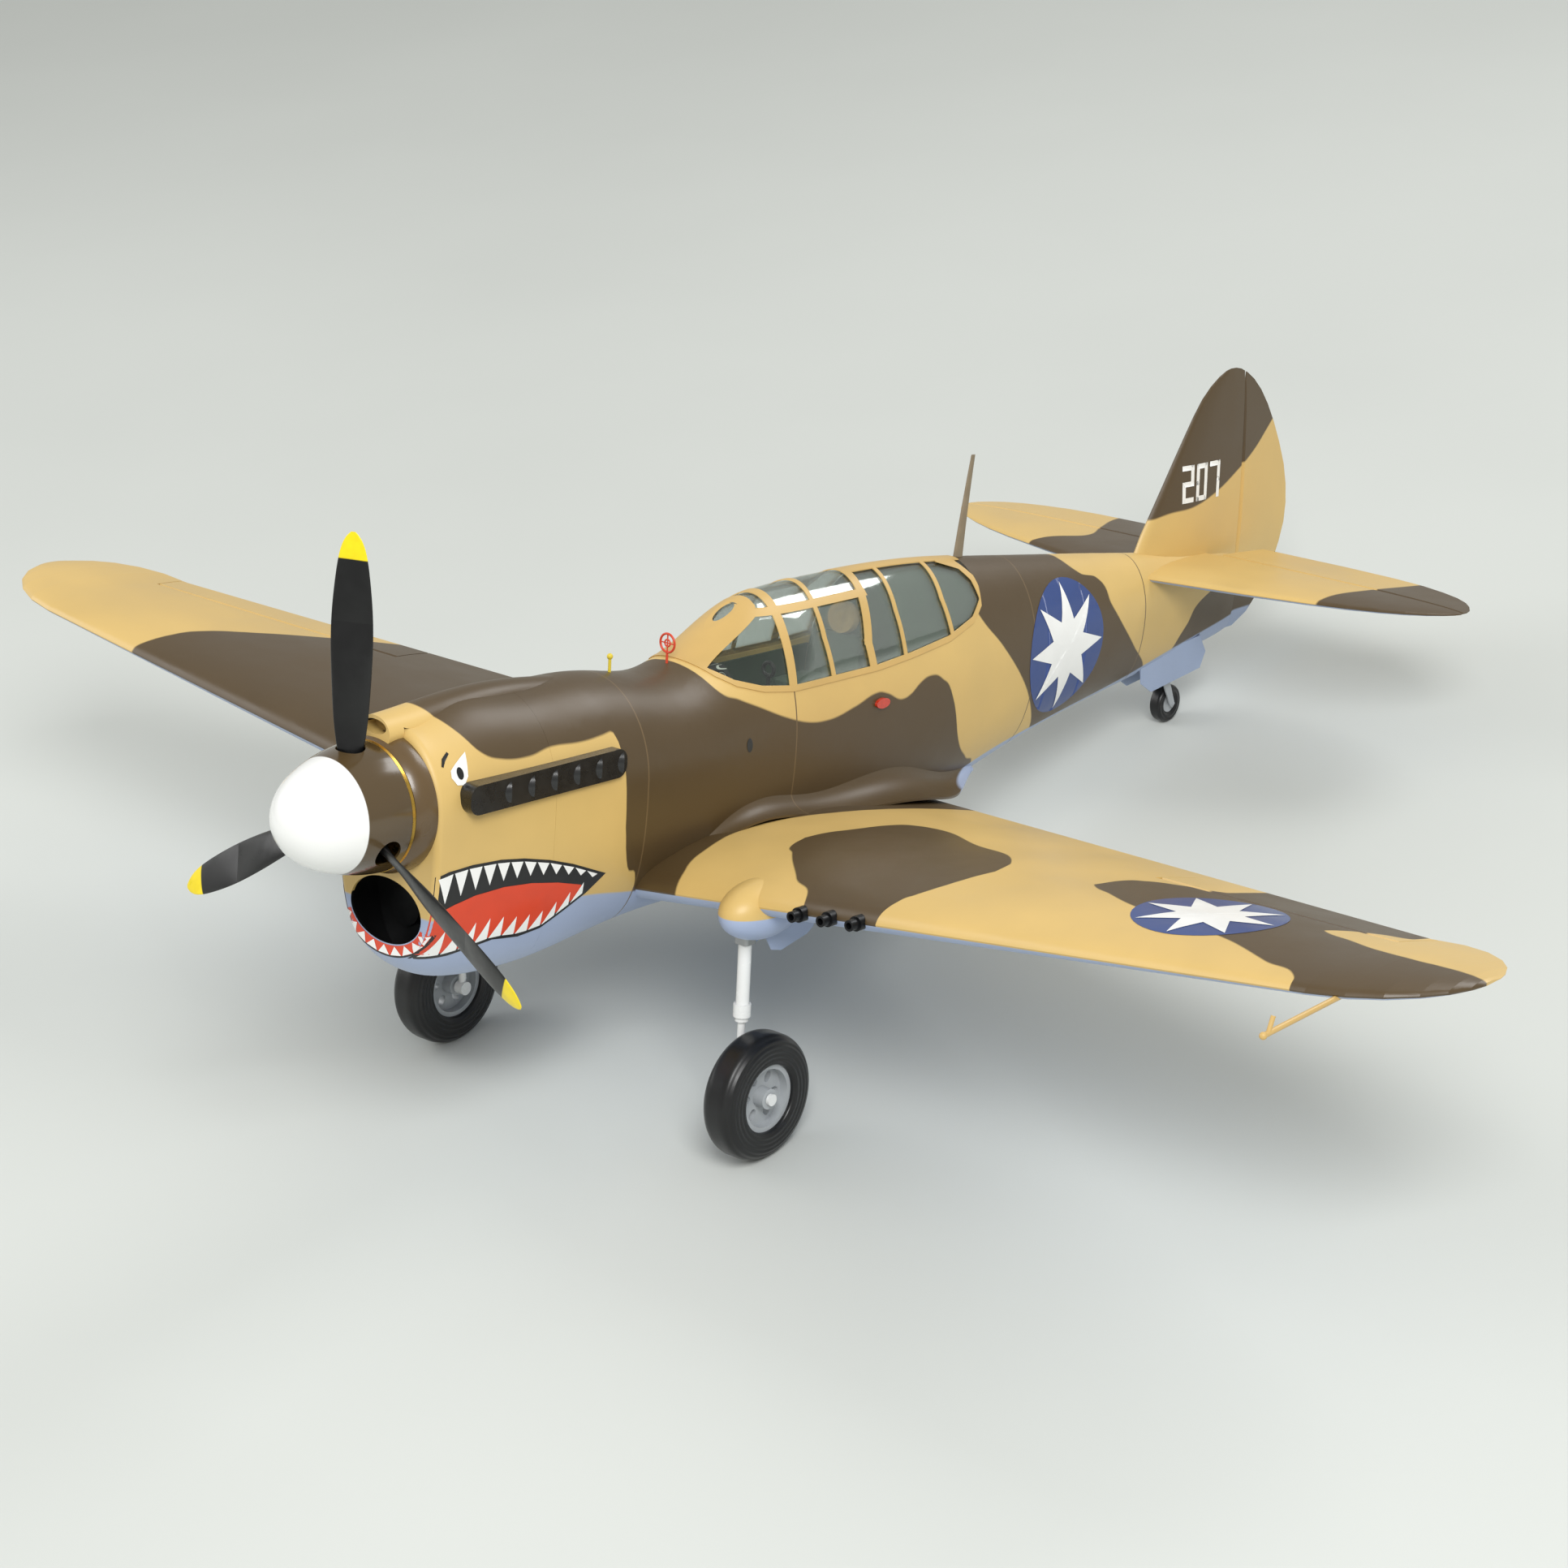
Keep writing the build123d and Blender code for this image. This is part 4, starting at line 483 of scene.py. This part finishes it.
def marking(name, outlines, view, nodes, finish, lift, body="airframe"):
    """Cuts outlines into small cells and lays them on the skin, lift millimetres proud of it."""
    seen_from, a, b = VIEWS[view]
    tree = skin(nodes)
    shape = bmesh.new()
    for outline in outlines:
        corners = []
        for first, second in outline:
            point = Vector((0, 0, 0))
            point[a], point[b] = first, second
            corners.append(shape.verts.new(point))
        shape.faces.new(corners)
    bmesh.ops.triangulate(shape, faces=shape.faces[:])
    for axis in (a, b):
        values = [v.co[axis] for v in shape.verts]
        normal = Vector((0, 0, 0))
        normal[axis] = 1
        steps = int((max(values) - min(values)) / CELL)
        for i in range(1, steps + 1):
            at = normal * (min(values) + i * CELL)
            everything = shape.verts[:] + shape.edges[:] + shape.faces[:]
            bmesh.ops.bisect_plane(shape, geom=everything, plane_co=at, plane_no=normal)
    out = (TO_ROW.to_3x3() @ Vector(seen_from)).normalized()
    missed = []
    for vert in shape.verts:
        hit, normal, _, _ = tree.ray_cast(row(*vert.co) + out * 0.5, -out)
        if hit is None:
            missed.append(vert)
            continue
        vert.co = hit + (normal if normal.dot(out) > 0 else -normal) * lift * MM
    bmesh.ops.delete(shape, geom=missed, context="VERTS")
    shape.normal_update()
    for face in shape.faces:
        face.smooth = True
        if face.normal.dot(out) < 0:
            face.normal_flip()
    mesh = bpy.data.meshes.new(name)
    shape.to_mesh(mesh)
    shape.free()
    piece = bpy.data.objects.new(name, mesh)
    bpy.context.collection.objects.link(piece)
    mesh.materials.append(finish)
    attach(piece, body)
    return piece


def ring(centre, rx, ry, count=48):
    """Points round an ellipse."""
    turns = [2 * math.pi * i / count for i in range(count)]
    return [(centre[0] + rx * math.cos(t), centre[1] + ry * math.sin(t)) for t in turns]


def star(centre, radius, points, turn):
    """A star with straight-sided arms, as a fan of triangles about its centre."""
    outline = []
    for i in range(2 * points):
        reach = radius if i % 2 == 0 else radius * STAR_WAIST
        angle = turn + math.pi * i / points
        outline.append((centre[0] + reach * math.cos(angle), centre[1] + reach * math.sin(angle)))
    return [(centre, first, second) for first, second in zip(outline, outline[1:] + outline[:1])]


FLANK, TOP_SKIN = "fuselage_shell nose_cowl", "wing_left"
for side in ("port", "starboard"):
    marking(f"body_disc_{side}", [ring((935, -3), 64, 64)], side, FLANK, disc_blue, 0.25)
    marking(f"body_star_{side}", star((935, -3), 61, 8, math.pi / 2), side, FLANK, mark_white, 0.60)
marking("wing_disc", [ring((553, 438), 60, 60)], "top", TOP_SKIN, disc_blue, 0.25)
marking("wing_star", star((553, 438), 57, 8, math.pi / 2), "top", TOP_SKIN, mark_white, 0.60)

# The jaws on the nose: a dark outline, a red throat and two rows of teeth.
JAW = (
    (111, -50), (122, -47), (145, -45.5), (175, -47), (200, -51), (228, -58), (255, -67), (296, -84),
    (276, -97), (252, -108), (229, -118), (205, -120), (176, -116), (150, -119), (134, -122),
    (111, -124),
)
THROAT = (
    (111, -82), (130, -76), (150, -72), (180, -71), (210, -74), (240, -80), (268, -88), (270, -95),
    (250, -104), (228, -114.5), (205, -116.5), (176, -112.5), (150, -115), (134, -118), (111, -119),
)


def arc(points, y):
    """Height of a line of points at a station."""
    for (y0, z0), (y1, z1) in zip(points, points[1:]):
        if y0 <= y <= y1:
            return z0 + (z1 - z0) * (y - y0) / (y1 - y0)
    return points[-1][1]


def teeth(lip_line, pitch, inset, lean, lengths):
    """A row of teeth along a lip: they stand inset from it and end length away, leaning aft."""
    row_of_teeth = []
    for i, length in enumerate(lengths):
        y0, y1 = 113 + pitch * i, 126 + pitch * i
        z0, z1 = arc(lip_line, y0), arc(lip_line, y1)
        root = z0 if inset < 0 else z1
        row_of_teeth.append(((y0, z0 + inset), (y1, z1 + inset), ((y0 + y1) / 2 + lean, root + length)))
    return row_of_teeth


PITCH = 14.5
upper_teeth = teeth(JAW[:8], PITCH, -2.5, 1, [1.3 * i - 24 for i in range(12)])
lower_teeth = teeth(JAW[7:][::-1], PITCH, 3, 6, [25 - 1.2 * i for i in range(11)])
BROW = ((121, 36), (124, 41), (131, 45), (132, 43.5), (126, 39), (122.5, 35))
EYE = ((127, 27), (131, 21), (138, 20), (143, 26), (144, 34), (147, 43), (141, 40), (134, 36), (128, 32))
for side in ("port", "starboard"):
    marking(f"jaw_outline_{side}", [JAW], side, FLANK, mark_black, 0.25)
    marking(f"jaw_throat_{side}", [THROAT], side, FLANK, mark_red, 0.40)
    marking(f"upper_teeth_{side}", upper_teeth, side, FLANK, mark_white, 0.55)
    marking(f"lower_teeth_{side}", lower_teeth, side, FLANK, mark_white, 0.55)
    marking(f"eye_{side}", [EYE], side, FLANK, mark_white, 0.40)
    marking(f"pupil_{side}", [ring((136, 29), 3.2, 4.6, 20)], side, FLANK, mark_black, 0.60)
    marking(f"brow_{side}", [BROW], side, FLANK, mark_black, 0.40)
    marking(f"side_port_{side}", [ring((463, -6), 3.6, 6.0, 24)], side, FLANK, mark_black, 0.30)

# The jaws carry on round the lip below the intake: a red band with teeth, edged in black.
LIP_FROM, LIP_TO, LIP_TEETH = math.radians(196), math.radians(344), 9


def lip(turn, out):
    """A point beside the intake, seen from the front, out millimetres from its edge."""
    return (LIP_HALF_WIDTH + out) * math.cos(turn), LIP_Z + (LIP_HALF_HEIGHT + out) * math.sin(turn)


def lip_band(near, far, count=36):
    """A band along the lower lip between two distances from the edge."""
    turns = [LIP_FROM + (LIP_TO - LIP_FROM) * i / count for i in range(count + 1)]
    return [(lip(a, near), lip(b, near), lip(b, far), lip(a, far)) for a, b in zip(turns, turns[1:])]


lip_teeth = []
for i in range(LIP_TEETH):
    low = LIP_FROM + (LIP_TO - LIP_FROM) * i / LIP_TEETH
    high = low + (LIP_TO - LIP_FROM) * 0.88 / LIP_TEETH
    lip_teeth.append((lip(low, 8.2), lip(high, 8.2), lip((low + high) / 2, 0.6)))
marking("lip_band", lip_band(0.0, 8.2), "front", "nose_cowl", mark_red, 0.30)
marking("lip_teeth", lip_teeth, "front", "nose_cowl", mark_white, 0.50)
marking("lip_edge", lip_band(8.2, 9.6), "front", "nose_cowl", mark_black, 0.40)

# Block numerals on the fin, built from upright and level bars.
BARS = {
    "top": (0, 1, 1, 1),
    "mid": (0, 0.5, 1, 0.5),
    "low": (0, 0, 1, 0),
    "ul": (0, 0.5, 0, 1),
    "ur": (1, 0.5, 1, 1),
    "ll": (0, 0, 0, 0.5),
    "lr": (1, 0, 1, 0.5),
}
DIGITS = ("top ur mid ll low", "top ul ur ll lr low", "top ur lr")
DIGIT_W, DIGIT_H, DIGIT_PITCH, STROKE = 13.0, 32.0, 22.0, 5.0
NUMBER_Y, NUMBER_Z = 1194.0, 100.0
for side, step in (("port", 1), ("starboard", -1)):
    bars = []
    for i, lit in enumerate(DIGITS):
        left = NUMBER_Y + step * (DIGIT_PITCH * (i - 1) - DIGIT_W / 2)
        for bar in lit.split():
            x0, z0, x1, z1 = BARS[bar]
            low = (left + step * x0 * DIGIT_W, NUMBER_Z + z0 * DIGIT_H)
            high = (left + step * x1 * DIGIT_W, NUMBER_Z + z1 * DIGIT_H)
            (ya, yb), (za, zb) = sorted((low[0], high[0])), sorted((low[1], high[1]))
            half = STROKE / 2
            ya, yb, za, zb = ya - half, yb + half, za - half, zb + half
            bars.append(((ya, za), (yb, za), (yb, zb), (ya, zb)))
    marking(f"fin_number_{side}", bars, side, "fin rudder", mark_white, 0.30)

# ---------------------------------------------------------------- studio
floor_mesh = bpy.data.meshes.new("floor")
sheet = bmesh.new()
FLOOR = ((-9, -7), (9, -7), (9, 9), (-9, 9))
sheet.faces.new([sheet.verts.new((x, y, 0)) for x, y in FLOOR])
sheet.to_mesh(floor_mesh)
sheet.free()
floor = bpy.data.objects.new("floor", floor_mesh)
bpy.context.collection.objects.link(floor)
paper = plain("matt_paper_sweep", "CACDC9", 0.8, size=900, mottle=0.02, grain=2.0, bump=0.02)
floor_mesh.materials.append(paper)

world = bpy.data.worlds.new("studio")
bpy.context.scene.world = world
world.use_nodes = True
world.node_tree.nodes["Background"].inputs["Color"].default_value = linear("D9DAD7")
world.node_tree.nodes["Background"].inputs["Strength"].default_value = 0.75

# position, size and power of each soft box; all face the aeroplane
LIGHTS = {
    "key": ((2.6, -2.2, 3.4), 1.8, 150.0),
    "fill": ((-3.2, -1.6, 2.4), 2.4, 55.0),
    "rim": ((0.8, 3.4, 3.0), 2.0, 60.0),
}
for name, (where, size, power) in LIGHTS.items():
    lamp = bpy.data.lights.new(name, "AREA")
    lamp.size, lamp.energy = size, power
    holder = bpy.data.objects.new(name, lamp)
    holder.location = where
    holder.rotation_euler = (Vector((0, 0, 0.3)) - Vector(where)).to_track_quat("-Z", "Y").to_euler()
    bpy.context.collection.objects.link(holder)

# The camera looks down on the port bow: 40 degrees round from the nose and 17 degrees up in the
# aeroplane's own axes.
TURN, RISE, ROLL = 0.70044, 0.28896, 0.04936
back = Vector((math.sin(TURN) * math.cos(RISE), -math.cos(TURN) * math.cos(RISE), math.sin(RISE)))
right = Vector((math.cos(TURN), math.sin(TURN), 0))
up = back.cross(right)
side_axis = math.cos(ROLL) * right + math.sin(ROLL) * up
up_axis = -math.sin(ROLL) * right + math.cos(ROLL) * up
lens = bpy.data.cameras.new("camera")
lens.lens, lens.sensor_width = 84.4, 36.0
camera = bpy.data.objects.new("camera", lens)
turned = Matrix((side_axis, up_axis, back)).transposed()
camera.matrix_world = TO_ROW @ Matrix.Translation(Vector((2.0017, -1.7862, 0.8438))) @ turned.to_4x4()
bpy.context.collection.objects.link(camera)
bpy.context.scene.camera = camera
bpy.context.scene.view_settings.view_transform = "Standard"
